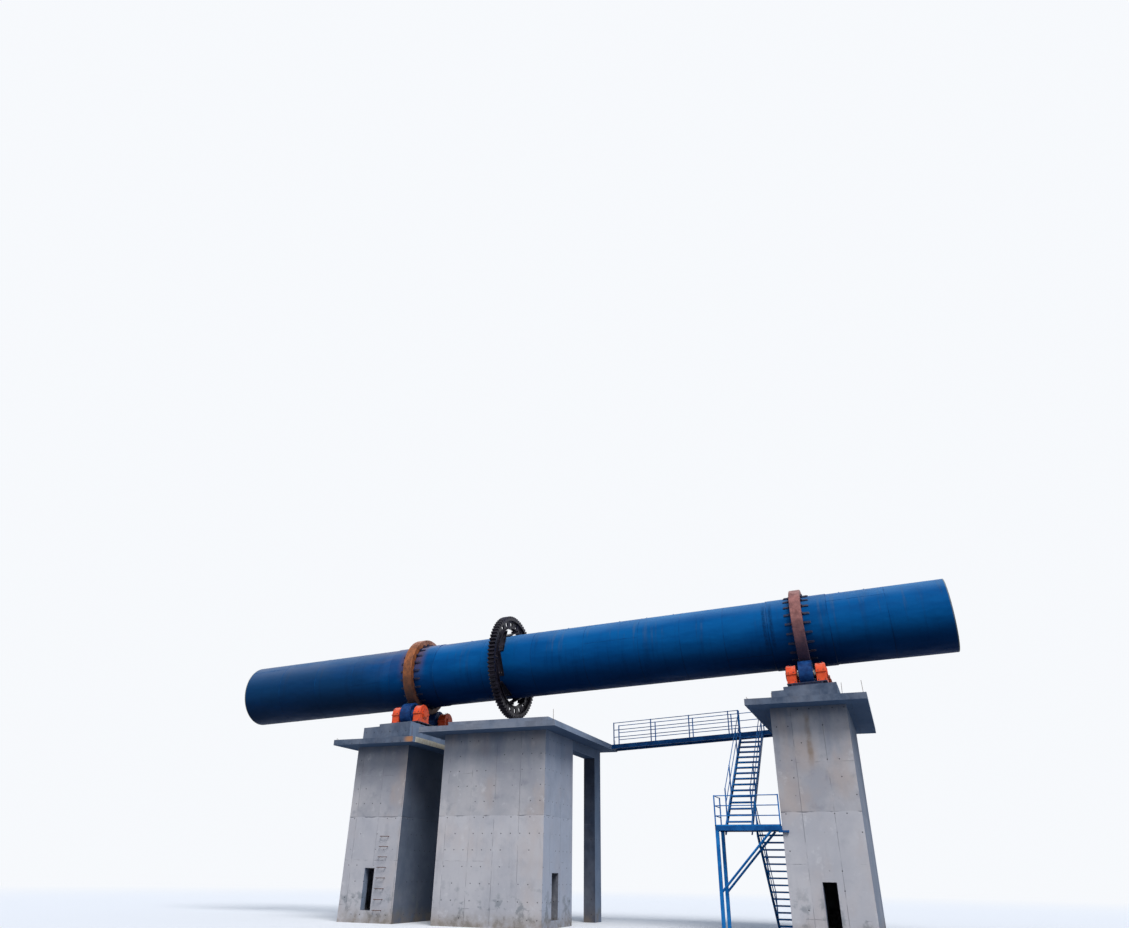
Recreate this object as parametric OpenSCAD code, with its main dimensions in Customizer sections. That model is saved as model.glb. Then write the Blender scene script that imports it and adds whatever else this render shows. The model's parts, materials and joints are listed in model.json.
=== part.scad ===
// A rotary kiln on its piers. The shell is a tube of welded courses with two riding rings
// and a girth gear, and it turns on two stations of support rollers. Concrete piers carry
// the stations and the drive platform, and a walkway and a stair lead up to them.
// Millimetres, +Z up, ground at z = 0. The kiln's axis runs along X and rises towards +X.
// The origin lies on the ground under the middle of the shell.

/* [Shell] */
// Length of the shell along its own axis
shell_length = 38000; // [36000:100:39000]
// Bore of the bare shell
shell_bore = 3200; // [3050:10:3300]
// Plate of the plain courses
plate = 25; // [20:1:32]
// Plate of the thicker courses under the riding rings
ring_plate = 50; // [40:1:60]
// Length of each thicker course
ring_course = 2700; // [2000:50:3000]
// Seam between the gear's course and the middle course, from mid-length
middle_seam_at = 4850; // [3800:50:6000]
// Rise of the axis in each 100 of run
slope_percent = 3.5; // [2.5:0.1:4.5]
// Height of the axis above the ground at mid-length
axis_height = 11930; // [11750:10:12400]

/* [Lifting lugs] */
// Place of the lug between the lower ring and the gear, from mid-length
low_lug_at = -5100; // [-5400:50:-4700]
// Place of the first lug above the gear, from mid-length
first_lug_at = 660; // [0:20:900]
// Lugs above the gear, at this distance from each other
lug_pitch = 2860; // [1800:20:3000]
// Number of lugs above the gear
lug_count = 3; // [2:1:3]
// Distance from a seam to its lug
lug_from_seam = 130; // [100:10:200]
// Distance from the upper ring to the first lug above it
ring_to_lug = 1980; // [1600:20:2300]
// Distance from the upper ring to the last lug
ring_to_last_lug = 3110; // [2600:10:3600]
// Height of a lug over the shell
lug_height = 100; // [60:5:140]
// Length of a lug along the shell
lug_length = 150; // [100:10:180]
// Thickness of a lug
lug_plate = 30; // [16:2:50]

/* [Riding rings] */
// Place of the lower ring on the axis, from mid-length
lower_ring_at = -7900; // [-8300:50:-7500]
// Place of the upper ring on the axis, from mid-length
upper_ring_at = 12500; // [12100:50:12900]
// Width of a ring along the axis
ring_width = 500; // [400:10:600]
// Thickness of a ring from bore to face
ring_thickness = 300; // [240:5:340]
// Chamfer on a ring's edges
ring_chamfer = 20; // [8:1:35]

/* [Pads under the rings] */
// Number of pads round the shell
pad_count = 24; // [16:1:32]
// Height of a pad
pad_height = 50; // [30:1:80]
// Width of a pad round the shell
pad_width = 90; // [60:5:140]
// Length by which a pad stands out past the ring on each side
pad_overhang = 330; // [200:10:420]
// Height of the stop block on each end of a pad, over the ring's bore
stop_height = 70; // [30:5:110]
// Length of a stop block along the axis
stop_length = 70; // [40:5:110]

/* [Girth gear] */
// Place of the gear on the axis, from mid-length
gear_at = -2600; // [-3000:50:-2200]
// Number of teeth, an even number because the gear comes in halves
teeth = 78; // [60:2:96]
// Radius over the tips of the teeth
gear_tip_r = 2670; // [2550:10:2750]
// Width of the toothed rim
gear_width = 350; // [280:10:420]
// Thickness of the rim under the teeth
gear_rim = 110; // [80:5:130]
// Thickness of the web beside the holes
gear_web = 90; // [60:5:140]
// Inner radius of the web's ring
gear_bore_r = 2020; // [1960:10:2080]
// Thickness of the inner flange of the web
gear_flange = 45; // [30:5:70]
// Width of the inner flange
gear_flange_width = 240; // [160:10:340]
// Number of lightening holes
web_holes = 24; // [12:2:30]
// Size of a lightening hole round the gear
hole_length = 260; // [160:10:300]
// Size of a lightening hole outwards
hole_height = 190; // [120:10:220]
// Thickness of each joint flange where the halves are bolted together
split_flange = 55; // [40:5:80]

/* [Gear springs] */
// Number of spring plates that carry the gear
spring_count = 8; // [4:2:10]
// Thickness of a spring plate
spring_plate = 30; // [20:2:40]
// Width of a spring plate along the axis
spring_width = 420; // [300:10:560]
// Length of the saddle that a spring plate starts from
saddle_length = 320; // [240:10:400]
// Length of the lug that holds a spring plate to the gear
spring_lug = 160; // [100:10:220]

/* [Support rollers] */
// Radius of a support roller
roller_r = 600; // [540:10:660]
// Width of a support roller
roller_width = 600; // [520:10:660]
// Angle of each roller's centre from straight down
roller_angle = 30; // [27:0.5:32]
// Depth of the recess in each side of a roller
roller_recess = 60; // [20:5:100]
// Gap between a ring and a roller
running_gap = 0.5; // [0.3:0.1:0.9]
// Diameter of the shaft in the roller
seat_d = 400; // [340:10:460]
// Diameter of the shaft in its bearings
journal_d = 280; // [220:10:320]
// Clearance between a shaft and its bore, on the radius
bore_clearance = 0.05; // [0.02:0.01:0.08]

/* [Bearings] */
// Distance from a roller's side to its bearings
bearing_gap = 130; // [90:10:180]
// Length of a bearing housing along the shaft
bearing_length = 420; // [340:10:480]
// Width of a bearing housing under its arch
bearing_width = 860; // [760:10:900]
// Height of the shaft's centre over the foot of its housing
bearing_height = 450; // [400:10:500]
// Thickness of the foot of a housing
foot_plate = 60; // [40:5:90]
// Width of the foot of a housing
foot_width = 960; // [900:10:1040]
// Thickness of the closed end of a housing
bearing_cover = 45; // [30:5:70]

/* [Roller base] */
// Height of the steel base frame
frame_height = 300; // [240:10:360]
// Half the length of the base frame across the kiln
frame_reach = 1950; // [1850:10:2100]
// Thickness of the base frame's flanges
flange = 40; // [25:1:55]
// Thickness of the base frame's webs
web = 60; // [40:2:90]
// Width of the base frame's cross beams
cross_beam = 440; // [430:5:480]
// Height of the tray under a roller
tray_height = 230; // [180:10:280]
// Length of the tray across the kiln
tray_length = 980; // [860:10:1080]
// Plate of the tray
tray_plate = 12; // [8:1:16]
// Clearance between the tray and the frame, and round the roller
tray_gap = 25; // [15:1:35]

/* [Lower pier] */
// Drop from the kiln's axis at mid-length to the top of the lower pier's slab
lower_slab_drop = 4130; // [3930:20:4330]
// Length of the lower pier's slab along the kiln
lower_slab_l = 4500; // [4000:50:4900]
// Width of the lower pier's shaft along the kiln
lower_shaft_l = 2900; // [2700:50:3300]
// Width of the lower pier's plinth along the kiln
lower_plinth_l = 2700; // [2400:50:3000]
// Half the depth of the lower pier's plinth across the kiln
lower_plinth_reach = 3400; // [2500:50:3600]
// Length of the lower step at that plinth's low end
lower_step_l = 900; // [600:20:1000]
// Drop of that step under the plinth's top
lower_step_drop = 110; // [60:10:200]

/* [Upper pier] */
// Drop from the kiln's axis at mid-length to the top of the upper pier's slab
upper_slab_drop = 3330; // [3130:20:3530]
// Length of the upper pier's slab along the kiln
upper_slab_l = 4800; // [4400:50:5200]
// Width of the upper pier's shaft along the kiln
upper_shaft_l = 3050; // [2800:50:3300]
// Width of the upper pier's plinth along the kiln
upper_plinth_l = 2720; // [2600:20:2900]
// Distance by which that plinth lies below the middle of its pier
upper_plinth_shift = 115; // [0:5:200]
// Half the depth of the upper pier's plinth across the kiln
upper_plinth_reach = 2800; // [2500:50:3400]
// Length of the lower step at that plinth's low end
upper_step_l = 520; // [300:20:560]
// Drop of that step under the plinth's top
upper_step_drop = 130; // [60:10:220]
// Distance by which the upper pier's hatch lies lower than the other
upper_hatch_drop = 270; // [200:10:280]

/* [Both ring piers] */
// Half the depth of the slabs across the kiln
slab_reach = 4500; // [4300:20:4700]
// Thickness of the slabs
slab_plate = 250; // [200:10:320]
// Distance by which the slabs stand out past the front and the back of the shafts
slab_overhang = 1000; // [800:20:1300]
// Thickness of the concrete walls
wall = 350; // [250:10:450]
// Width of the hatch in the front of each shaft
hatch_width = 520; // [400:10:620]
// Foot of the hatches over the ground
hatch_foot = 500; // [300:20:700]
// Head of the hatches over the ground
hatch_head = 2200; // [1900:20:2500]

/* [Step irons] */
// Number of step irons in the lower pier's front wall
iron_count = 8; // [4:1:9]
// Height of the lowest step iron
iron_foot = 500; // [300:20:600]
// Step irons, one above another at this distance
iron_pitch = 430; // [300:10:440]
// Width of a step iron
iron_width = 410; // [300:10:450]
// Diameter of the bar
iron_d = 26; // [18:1:32]
// Distance by which a step iron stands out from the wall
iron_out = 150; // [110:5:190]
// Distance from the hatch to the step irons
iron_from_hatch = 200; // [150:10:400]

/* [Drive pier] */
// Lower end of the drive pier's slab
drive_slab_x0 = -5250; // [-5400:50:-5000]
// Upper end of the drive pier's slab
drive_slab_x1 = 1750; // [1400:50:2100]
// Drop from the kiln's axis at mid-length to the top of the drive pier's slab
drive_slab_drop = 3730; // [3530:20:3830]
// Thickness of the drive pier's slab
drive_slab_plate = 250; // [200:10:320]
// Lower side of the drive pier's block
block_x0 = -4350; // [-4700:50:-4100]
// Upper side of the drive pier's block
block_x1 = 900; // [600:50:1200]
// Distance by which the slab stands out past the front of the block
block_overhang = 1000; // [700:20:1300]
// Back of the block
block_back = 0; // [-300:50:300]
// Width of the doorway in the block
door_width = 750; // [650:10:1000]
// Distance from the front of the block to the doorway
door_from_front = 1050; // [800:10:1300]
// Step up to the doorway
door_foot = 300; // [100:10:400]
// Head of the doorway over the ground
door_head = 2100; // [1950:10:2300]
// Width of a rear column along the kiln
column_l = 600; // [450:10:750]
// Depth of a rear column across the kiln
column_d = 900; // [700:10:1000]
// Distance from the slab's rear edge to the rear columns
column_inset = 400; // [200:50:600]
// Depth of the beams under the slab
beam_depth = 450; // [300:10:600]

/* [Drive plinth] */
// Height of the plinth on the drive pier's slab
drive_plinth_height = 220; // [150:10:300]
// Distance from the slab's upper end to the plinth
drive_plinth_end = 500; // [300:20:700]
// Length of the plinth along the kiln
drive_plinth_l = 5150; // [4600:50:5500]
// Distance from the slab's front to the plinth
drive_plinth_inset = 400; // [300:20:600]
// Depth of the plinth across the kiln
drive_plinth_depth = 4100; // [3600:50:4400]

/* [Walkway] */
// Width of the walkway
walk_width = 950; // [880:10:1000]
// Depth of the walkway's edge beams
walk_beam = 210; // [180:10:340]
// Width of the walkway's edge beams
walk_beam_w = 70; // [50:5:100]
// Plate of the walkway and the stair
deck_plate = 12; // [8:1:20]

/* [Handrails] */
// Height of the walkway's rails
rail_height = 1120; // [1000:10:1200]
// Height of the stair's rails
stair_rail_height = 1150; // [950:10:1200]
// Diameter of rails and posts
rail_d = 48; // [38:1:60]
// Number of posts along the walkway's rear rail
walk_posts = 5; // [4:1:8]
// Distance from the end of the walkway to its last post
post_inset = 120; // [80:10:200]
// Distance from a flight's side to the walkway's nearest post
gate_gap = 60; // [40:5:100]

/* [Stair] */
// Height of the landing
landing_top = 3870; // [3700:10:4000]
// Lower end of the landing
landing_x0 = 8440; // [8350:10:8520]
// Distance by which the landing's front stands before the pier's front
landing_ahead = 100; // [60:10:200]
// Depth of the landing across the kiln
landing_depth = 1250; // [1150:10:1400]
// Depth of the landing's edge beams
landing_beam = 165; // [150:5:240]
// Distance by which the bearer under its front runs on past the pier's corner
bearer_reach = 250; // [120:10:300]
// Height of that bearer
bearer_height = 75; // [50:5:100]
// Width of each flight
flight_width = 1130; // [1000:10:1160]
// Lower side of the upper flight
upper_flight_x0 = 8590; // [8560:10:8620]
// Gap between the two flights
flight_gap = 150; // [100:10:160]
// Run of the lower flight
lower_run = 4000; // [3600:20:4300]
// Number of treads in the upper flight
upper_treads = 16; // [14:1:18]
// Number of treads in the lower flight
lower_treads = 14; // [12:1:16]
// Depth of a tread
tread_depth = 240; // [200:5:260]
// Thickness of a tread
tread_plate = 40; // [25:1:50]
// Depth of a stringer, square to its slope
stringer_depth = 220; // [180:5:250]
// Thickness of a stringer's web and flanges
stringer_plate = 14; // [10:1:18]
// Width of a stringer's flanges
stringer_flange = 60; // [55:5:90]
// Size of the stair's posts
post_size = 130; // [110:5:190]
// Size of the stair's braces
brace_size = 90; // [60:5:110]
// Height at which the long braces leave the posts
brace_foot = 1500; // [1200:20:1800]
// Run of the long braces along the landing
brace_run = 2140; // [1700:20:2200]

/* [Hidden] */
$fn = 96;
seat = 0.3;
slope = atan(slope_percent / 100);
drum_r = shell_bore / 2 + plate;
thick_r = shell_bore / 2 + ring_plate;
ring_bore_r = thick_r + seat + pad_height + seat;
ring_r = ring_bore_r + ring_thickness;
roller_at = ring_r + roller_r + running_gap;
roller_y = roller_at * sin(roller_angle);
roller_drop = roller_at * cos(roller_angle);
foot_drop = roller_drop + bearing_height;
frame_drop = foot_drop + seat + frame_height;
bearing_at = roller_width / 2 + bearing_gap + bearing_length / 2;
bearing_out = bearing_at + bearing_length / 2;
axle_end_gap = 10;
lower_pier_x = lower_ring_at * cos(slope) + frame_drop * sin(slope);
upper_pier_x = upper_ring_at * cos(slope) + frame_drop * sin(slope);
lower_end = -shell_length / 2;
upper_end = shell_length / 2;
module_mm = gear_tip_r / (teeth / 2 + 0.8);
pitch_r = module_mm * teeth / 2;
root_r = pitch_r - module_mm;
base_r = pitch_r * cos(20);
rim_inner_r = root_r - gear_rim;
hole_at = (rim_inner_r + gear_bore_r + gear_flange) / 2;
shaft_reach = slab_reach - slab_overhang;
block_front = block_overhang - slab_reach;
walk_front = slab_reach - walk_width;
walk_back = slab_reach;
column_front = slab_reach - column_inset - column_d;
landing_front = -shaft_reach - landing_ahead;
landing_back = landing_front + landing_depth;
landing_x1 = upper_pier_x - upper_shaft_l / 2;
lower_flight_x0 = upper_flight_x0 + flight_width + flight_gap;
upper_slab_x0 = upper_pier_x - upper_slab_l / 2;
lower_slab_top = axis_height - lower_slab_drop;
upper_slab_top = axis_height - upper_slab_drop;
drive_slab_top = axis_height - drive_slab_drop;
walk_top0 = drive_slab_top;
walk_top1 = upper_slab_top;
walk_x0 = drive_slab_x1 + seat;
walk_x1 = upper_slab_x0 - seat;
walk_slope = (walk_top1 - walk_top0) / (walk_x1 - walk_x0);
stair_x = upper_flight_x0 + flight_width / 2;
bar_sides = 8;
lug_places = concat(
    [low_lug_at, middle_seam_at + lug_from_seam],
    [for (i = [0 : lug_count - 1]) first_lug_at + i * lug_pitch],
    [upper_ring_at - ring_course / 2 - lug_from_seam],
    [upper_ring_at + ring_to_lug, upper_ring_at + ring_to_last_lug]
);

// Puts its children on the kiln's axis, which runs along their x
module on_axis(at = 0) {
    translate([0, 0, axis_height]) rotate([0, -slope, 0]) translate([at, 0, 0]) children();
}

// Turns a solid that was made about z so that it lies about x
module along_x() {
    rotate([90, 0, 90]) children();
}

// A straight bar of few sides from one point to another
module bar(p, q, d, sides = bar_sides) {
    v = q - p;
    translate(p) rotate([0, acos(v[2] / norm(v)), atan2(v[1], v[0])])
        cylinder(h = norm(v), d = d, $fn = sides);
}

// A box between two corners
module block(p, q) {
    translate(p) cube(q - p);
}

// Shell

module course(from, to, thickness) {
    on_axis(from) along_x() difference() {
        cylinder(h = to - from, r = shell_bore / 2 + thickness);
        translate([0, 0, -1]) cylinder(h = to - from + 2, r = shell_bore / 2);
    }
}

module lower_end_shell() {
    color("steelblue") course(lower_end, lower_ring_at - ring_course / 2, plate);
}

module lower_ring_shell() {
    color("steelblue")
        course(lower_ring_at - ring_course / 2, lower_ring_at + ring_course / 2, ring_plate);
}

module gear_shell() {
    color("steelblue") course(lower_ring_at + ring_course / 2, middle_seam_at, plate);
}

module middle_shell() {
    color("steelblue") course(middle_seam_at, upper_ring_at - ring_course / 2, plate);
}

module upper_ring_shell() {
    color("steelblue")
        course(upper_ring_at - ring_course / 2, upper_ring_at + ring_course / 2, ring_plate);
}

module upper_end_shell() {
    color("steelblue") course(upper_ring_at + ring_course / 2, upper_end, plate);
}

// A lug is a plate with a hole, on edge on the crown of the shell
module lifting_lug() {
    rotate([90, 0, 0]) linear_extrude(lug_plate, center = true) difference() {
        union() {
            translate([0, lug_height - lug_length / 4]) circle(r = lug_length / 4);
            polygon([[-lug_length / 2, 0], [lug_length / 2, 0],
                     [lug_length / 4, lug_height - lug_length / 4],
                     [-lug_length / 4, lug_height - lug_length / 4]]);
        }
        translate([0, lug_height - lug_length / 4]) circle(r = lug_length / 10);
    }
}

module lifting_lugs() {
    color("steelblue") for (at = lug_places)
        on_axis(at) translate([0, 0, drum_r + seat]) lifting_lug();
}

// Riding rings and their pads

module riding_ring(at) {
    on_axis(at) along_x() rotate_extrude() polygon([
        [ring_bore_r, -ring_width / 2],
        [ring_r - ring_chamfer, -ring_width / 2],
        [ring_r, -ring_width / 2 + ring_chamfer],
        [ring_r, ring_width / 2 - ring_chamfer],
        [ring_r - ring_chamfer, ring_width / 2],
        [ring_bore_r, ring_width / 2]
    ]);
}

module lower_ring() {
    color("sienna") riding_ring(lower_ring_at);
}

module upper_ring() {
    color("sienna") riding_ring(upper_ring_at);
}

// Side view of a pad with its two stop blocks, as length against radius
module pad_profile() {
    pad_end = ring_width / 2 + pad_overhang;
    stop_foot = ring_width / 2 + seat;
    top = sqrt(pow(ring_bore_r - seat, 2) - pow(pad_width / 2, 2));
    for (x = [stop_foot, -stop_foot - stop_length])
        translate([x, top - 1]) square([stop_length, stop_height + 1]);
    polygon([
        [-pad_end, drum_r], [-pad_end, top - pad_height / 2],
        [-pad_end + pad_height, top], [pad_end - pad_height, top],
        [pad_end, top - pad_height / 2], [pad_end, drum_r]
    ]);
}

module ring_pads(at) {
    for (i = [0 : pad_count - 1])
        on_axis(at) rotate([i * 360 / pad_count, 0, 0]) difference() {
            translate([0, pad_width / 2, 0]) rotate([90, 0, 0])
                linear_extrude(pad_width) pad_profile();
            translate([-ring_course, 0, 0]) along_x()
                cylinder(h = 2 * ring_course, r = thick_r + seat, $fn = 360);
        }
}

module lower_ring_pads() {
    color("#5a3a2c") ring_pads(lower_ring_at);
}

module upper_ring_pads() {
    color("#5a3a2c") ring_pads(upper_ring_at);
}

// Girth gear

// The involute's roll angle and half the angle that a tooth fills at a radius
function roll(r) = acos(min(1, base_r / r));
function involute(a) = tan(a) * 180 / PI - a;
function half_tooth(r) = 90 / teeth + involute(20) - involute(roll(r));
function at_angle(r, a) = [r * cos(a), r * sin(a)];

// One tooth's outline, root to root, about the angle a
function tooth(a) = [
    for (r = [root_r, pitch_r, gear_tip_r]) at_angle(r, a - half_tooth(r)),
    for (r = [gear_tip_r, pitch_r, root_r]) at_angle(r, a + half_tooth(r))
];

// Half of the toothed rim; the split lies in the gap between two teeth
module toothed_half() {
    outline = [for (i = [0 : teeth / 2 - 1]) each tooth((i + 0.5) * 360 / teeth)];
    linear_extrude(gear_width, center = true) difference() {
        polygon(concat([[root_r, 0]], outline, [[-root_r, 0]]));
        circle(r = rim_inner_r);
    }
}

module half_ring(r_out, r_in, width) {
    rotate_extrude(angle = 180) translate([r_in, -width / 2]) square([r_out - r_in, width]);
}

module web_hole() {
    translate([hole_at, 0, 0]) cube([hole_height, hole_length, gear_web + 2], center = true);
}

module gear_half() {
    step = 360 / web_holes;
    along_x() union() {
        toothed_half();
        difference() {
            half_ring(rim_inner_r + 1, gear_bore_r + gear_flange - 1, gear_web);
            for (i = [0 : web_holes / 2 - 1]) rotate([0, 0, (i + 0.5) * step]) web_hole();
        }
        half_ring(gear_bore_r + gear_flange, gear_bore_r, gear_flange_width);
        for (side = [-1, 1])
            translate([side > 0 ? gear_bore_r + 1 : -rim_inner_r - 1, seat / 2,
                       -gear_flange_width / 2])
                cube([rim_inner_r - gear_bore_r, split_flange, gear_flange_width]);
    }
}

module girth_gear_top() {
    color("#2b2024") on_axis(gear_at) gear_half();
}

module girth_gear_bottom() {
    color("#2b2024") on_axis(gear_at) rotate([180, 0, 0]) gear_half();
}

// A spring plate leaves its saddle on the shell at a tangent and ends in a lug on the gear
module gear_spring() {
    plate_foot = drum_r + seat + spring_plate;
    lug_r = gear_bore_r - seat;
    reach = sqrt(pow(lug_r, 2) - pow(plate_foot + spring_plate, 2));
    difference() {
        union() {
            translate([-saddle_length / 2, drum_r - 60])
                square([saddle_length, spring_plate + 60 + seat]);
            translate([-saddle_length / 2, plate_foot - 1])
                square([saddle_length / 2 + reach, spring_plate + 1]);
            intersection() {
                translate([reach - spring_lug, plate_foot]) square([spring_lug, lug_r]);
                circle(r = lug_r, $fn = 360);
            }
        }
        circle(r = drum_r + seat, $fn = 360);
    }
}

module girth_gear_springs() {
    color("#241c22") for (i = [0 : spring_count - 1])
        on_axis(gear_at) along_x() rotate([0, 0, (i + 0.5) * 360 / spring_count])
            linear_extrude(spring_width, center = true) gear_spring();
}

// Support rollers

module on_roller(ring_at, side) {
    on_axis(ring_at) translate([0, side * roller_y, -roller_drop]) children();
}

module roller_wheel() {
    hub_r = seat_d / 2 + 70;
    rim_r = roller_r - 110;
    edge = 15;
    half = roller_width / 2;
    along_x() rotate_extrude() polygon([
        [seat_d / 2 + bore_clearance, -half], [hub_r, -half],
        [hub_r + roller_recess, -half + roller_recess],
        [rim_r - roller_recess, -half + roller_recess], [rim_r, -half],
        [roller_r - edge, -half], [roller_r, -half + edge],
        [roller_r, half - edge], [roller_r - edge, half],
        [rim_r, half], [rim_r - roller_recess, half - roller_recess],
        [hub_r + roller_recess, half - roller_recess],
        [hub_r, half], [seat_d / 2 + bore_clearance, half]
    ]);
}

module roller_shaft() {
    journal_end = bearing_out - bearing_cover - axle_end_gap;
    shoulder = roller_width / 2 + bearing_gap / 2;
    along_x() rotate_extrude() polygon([
        [0, -journal_end], [journal_d / 2 - 8, -journal_end], [journal_d / 2, -journal_end + 8],
        [journal_d / 2, -shoulder], [seat_d / 2, -shoulder],
        [seat_d / 2, shoulder], [journal_d / 2, shoulder],
        [journal_d / 2, journal_end - 8], [journal_d / 2 - 8, journal_end], [0, journal_end]
    ]);
}

module lower_front_roller() {
    color("#1b2a4a") on_roller(lower_ring_at, -1) roller_wheel();
}

module lower_rear_roller() {
    color("#1b2a4a") on_roller(lower_ring_at, 1) roller_wheel();
}

module upper_front_roller() {
    color("#1b2a4a") on_roller(upper_ring_at, -1) roller_wheel();
}

module upper_rear_roller() {
    color("#1b2a4a") on_roller(upper_ring_at, 1) roller_wheel();
}

module lower_front_shaft() {
    color("silver") on_roller(lower_ring_at, -1) roller_shaft();
}

module lower_rear_shaft() {
    color("silver") on_roller(lower_ring_at, 1) roller_shaft();
}

module upper_front_shaft() {
    color("silver") on_roller(upper_ring_at, -1) roller_shaft();
}

module upper_rear_shaft() {
    color("silver") on_roller(upper_ring_at, 1) roller_shaft();
}

// A bearing housing is an arched block on a foot, bored for the shaft and closed outside;
// it is drawn with its closed end towards +x
module bearing_housing() {
    arch_r = bearing_width / 2;
    boss_r = journal_d / 2 + 110;
    along_x() difference() {
        union() {
            translate([0, 0, -bearing_length / 2]) linear_extrude(bearing_length) union() {
                circle(r = arch_r);
                translate([-arch_r, -bearing_height]) square([bearing_width, bearing_height]);
                translate([-foot_width / 2, -bearing_height]) square([foot_width, foot_plate]);
            }
            translate([0, 0, -bearing_length / 2 - 30]) cylinder(h = bearing_length, r = boss_r);
        }
        translate([0, 0, -bearing_length])
            cylinder(h = 1.5 * bearing_length - bearing_cover, d = journal_d + 2 * bore_clearance);
    }
}

module station_bearings(ring_at) {
    for (side = [-1, 1]) on_roller(ring_at, side) {
        translate([bearing_at, 0, 0]) bearing_housing();
        translate([-bearing_at, 0, 0]) rotate([0, 0, 180]) bearing_housing();
    }
}

module lower_bearings() {
    color("orangered") station_bearings(lower_ring_at);
}

module upper_bearings() {
    color("orangered") station_bearings(upper_ring_at);
}

// The base frame: two cross beams under the bearings, tied by three short beams
module beam_profile(width, height) {
    translate([-width / 2, 0]) square([width, flange]);
    translate([-width / 2, height - flange]) square([width, flange]);
    translate([-web / 2, flange - 1]) square([web, height - 2 * flange + 2]);
}

module roller_base(ring_at) {
    tie = 2 * bearing_at;
    on_axis(ring_at) translate([0, 0, -frame_drop]) union() {
        for (side = [-1, 1])
            translate([side * bearing_at, frame_reach, 0]) rotate([90, 0, 0])
                linear_extrude(2 * frame_reach) beam_profile(cross_beam, frame_height);
        for (y = [-1, 0, 1])
            translate([-tie / 2, y * (frame_reach - web), 0])
                rotate([90, 0, 90]) linear_extrude(tie) beam_profile(2 * web, frame_height);
    }
}

module lower_roller_base() {
    color("#3a2f33") roller_base(lower_ring_at);
}

module upper_roller_base() {
    color("#3a2f33") roller_base(upper_ring_at);
}

// An open tray under each roller, between the cross beams
module roller_trays(ring_at) {
    half_l = bearing_at - cross_beam / 2 - tray_gap;
    inner = [2 * (half_l - tray_plate), tray_length - 2 * tray_plate, tray_height];
    for (side = [-1, 1])
        on_axis(ring_at) translate([0, side * roller_y, -frame_drop]) difference() {
            translate([-half_l, -tray_length / 2, 0]) cube([2 * half_l, tray_length, tray_height]);
            translate([-inner[0] / 2, -inner[1] / 2, tray_plate]) cube(inner);
        }
}

module lower_roller_trays() {
    color("#26344f") roller_trays(lower_ring_at);
}

module upper_roller_trays() {
    color("#26344f") roller_trays(upper_ring_at);
}

// Ring piers

// The front wall with its hatch
module pier_front_wall(pier_x, shaft_l, top, hatch_drop = 0) {
    difference() {
        block([pier_x - shaft_l / 2, -shaft_reach, 0], [pier_x + shaft_l / 2, wall - shaft_reach, top]);
        block([pier_x - hatch_width / 2, -shaft_reach - 1, hatch_foot - hatch_drop],
              [pier_x + hatch_width / 2, wall - shaft_reach + 1, hatch_head - hatch_drop]);
    }
}

// The two side walls and the back wall, cast together
module pier_walls(pier_x, shaft_l, top) {
    difference() {
        block([pier_x - shaft_l / 2, wall - shaft_reach, 0], [pier_x + shaft_l / 2, shaft_reach, top]);
        block([pier_x - shaft_l / 2 + wall, wall - shaft_reach - 1, -1],
              [pier_x + shaft_l / 2 - wall, shaft_reach - wall, top + 1]);
    }
}

module pier_slab(pier_x, slab_l, top) {
    block([pier_x - slab_l / 2, -slab_reach, top - slab_plate], [pier_x + slab_l / 2, slab_reach, top]);
}

// The plinth's top follows the slope of the kiln, with a lower step at its low end
module pier_plinth(plinth_x, plinth_l, reach, ring_at, slab_top, step_l, step_drop) {
    x0 = plinth_x - plinth_l / 2;
    tall = frame_drop;
    ring_x = ring_at * cos(slope) + frame_drop * sin(slope);
    difference() {
        block([x0, -reach, slab_top], [x0 + plinth_l, reach, slab_top + tall]);
        on_axis(ring_at) translate([-plinth_l, -slab_reach, -frame_drop - seat])
            cube([2 * plinth_l, 2 * slab_reach, 2 * tall]);
        on_axis(ring_at)
            translate([x0 + step_l - ring_x - plinth_l, -slab_reach, -frame_drop - step_drop])
                cube([plinth_l, 2 * slab_reach, tall]);
    }
}

module lower_pier_front_wall() {
    color("#8f8f92") pier_front_wall(lower_pier_x, lower_shaft_l, lower_slab_top - slab_plate);
}

module lower_pier_walls() {
    color("#8f8f92") pier_walls(lower_pier_x, lower_shaft_l, lower_slab_top - slab_plate);
}

module lower_pier_slab() {
    color("#9a9a9d") pier_slab(lower_pier_x, lower_slab_l, lower_slab_top);
}

module lower_pier_plinth() {
    color("#8f8f92")
        pier_plinth(lower_pier_x, lower_plinth_l, lower_plinth_reach, lower_ring_at, lower_slab_top,
                    lower_step_l, lower_step_drop);
}

module upper_pier_front_wall() {
    color("#8f8f92") pier_front_wall(upper_pier_x, upper_shaft_l, upper_slab_top - slab_plate,
                                     upper_hatch_drop);
}

module upper_pier_walls() {
    color("#8f8f92") pier_walls(upper_pier_x, upper_shaft_l, upper_slab_top - slab_plate);
}

module upper_pier_slab() {
    color("#9a9a9d") pier_slab(upper_pier_x, upper_slab_l, upper_slab_top);
}

module upper_pier_plinth() {
    color("#8f8f92")
        pier_plinth(upper_pier_x - upper_plinth_shift, upper_plinth_l, upper_plinth_reach,
                    upper_ring_at, upper_slab_top, upper_step_l, upper_step_drop);
}

// U-shaped step irons are let into the front wall beside the hatch
module lower_pier_step_irons() {
    x0 = lower_pier_x + hatch_width / 2 + iron_from_hatch;
    x1 = x0 + iron_width;
    wall_y = -shaft_reach - seat;
    color("#7a5a3c") for (i = [0 : iron_count - 1]) {
        z = iron_foot + i * iron_pitch;
        block([x0, wall_y - iron_out, z], [x1, wall_y - iron_out + iron_d, z + iron_d]);
        for (x = [x0, x1 - iron_d])
            block([x, wall_y - iron_out, z], [x + iron_d, wall_y, z + iron_d]);
    }
}

// Drive pier

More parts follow.
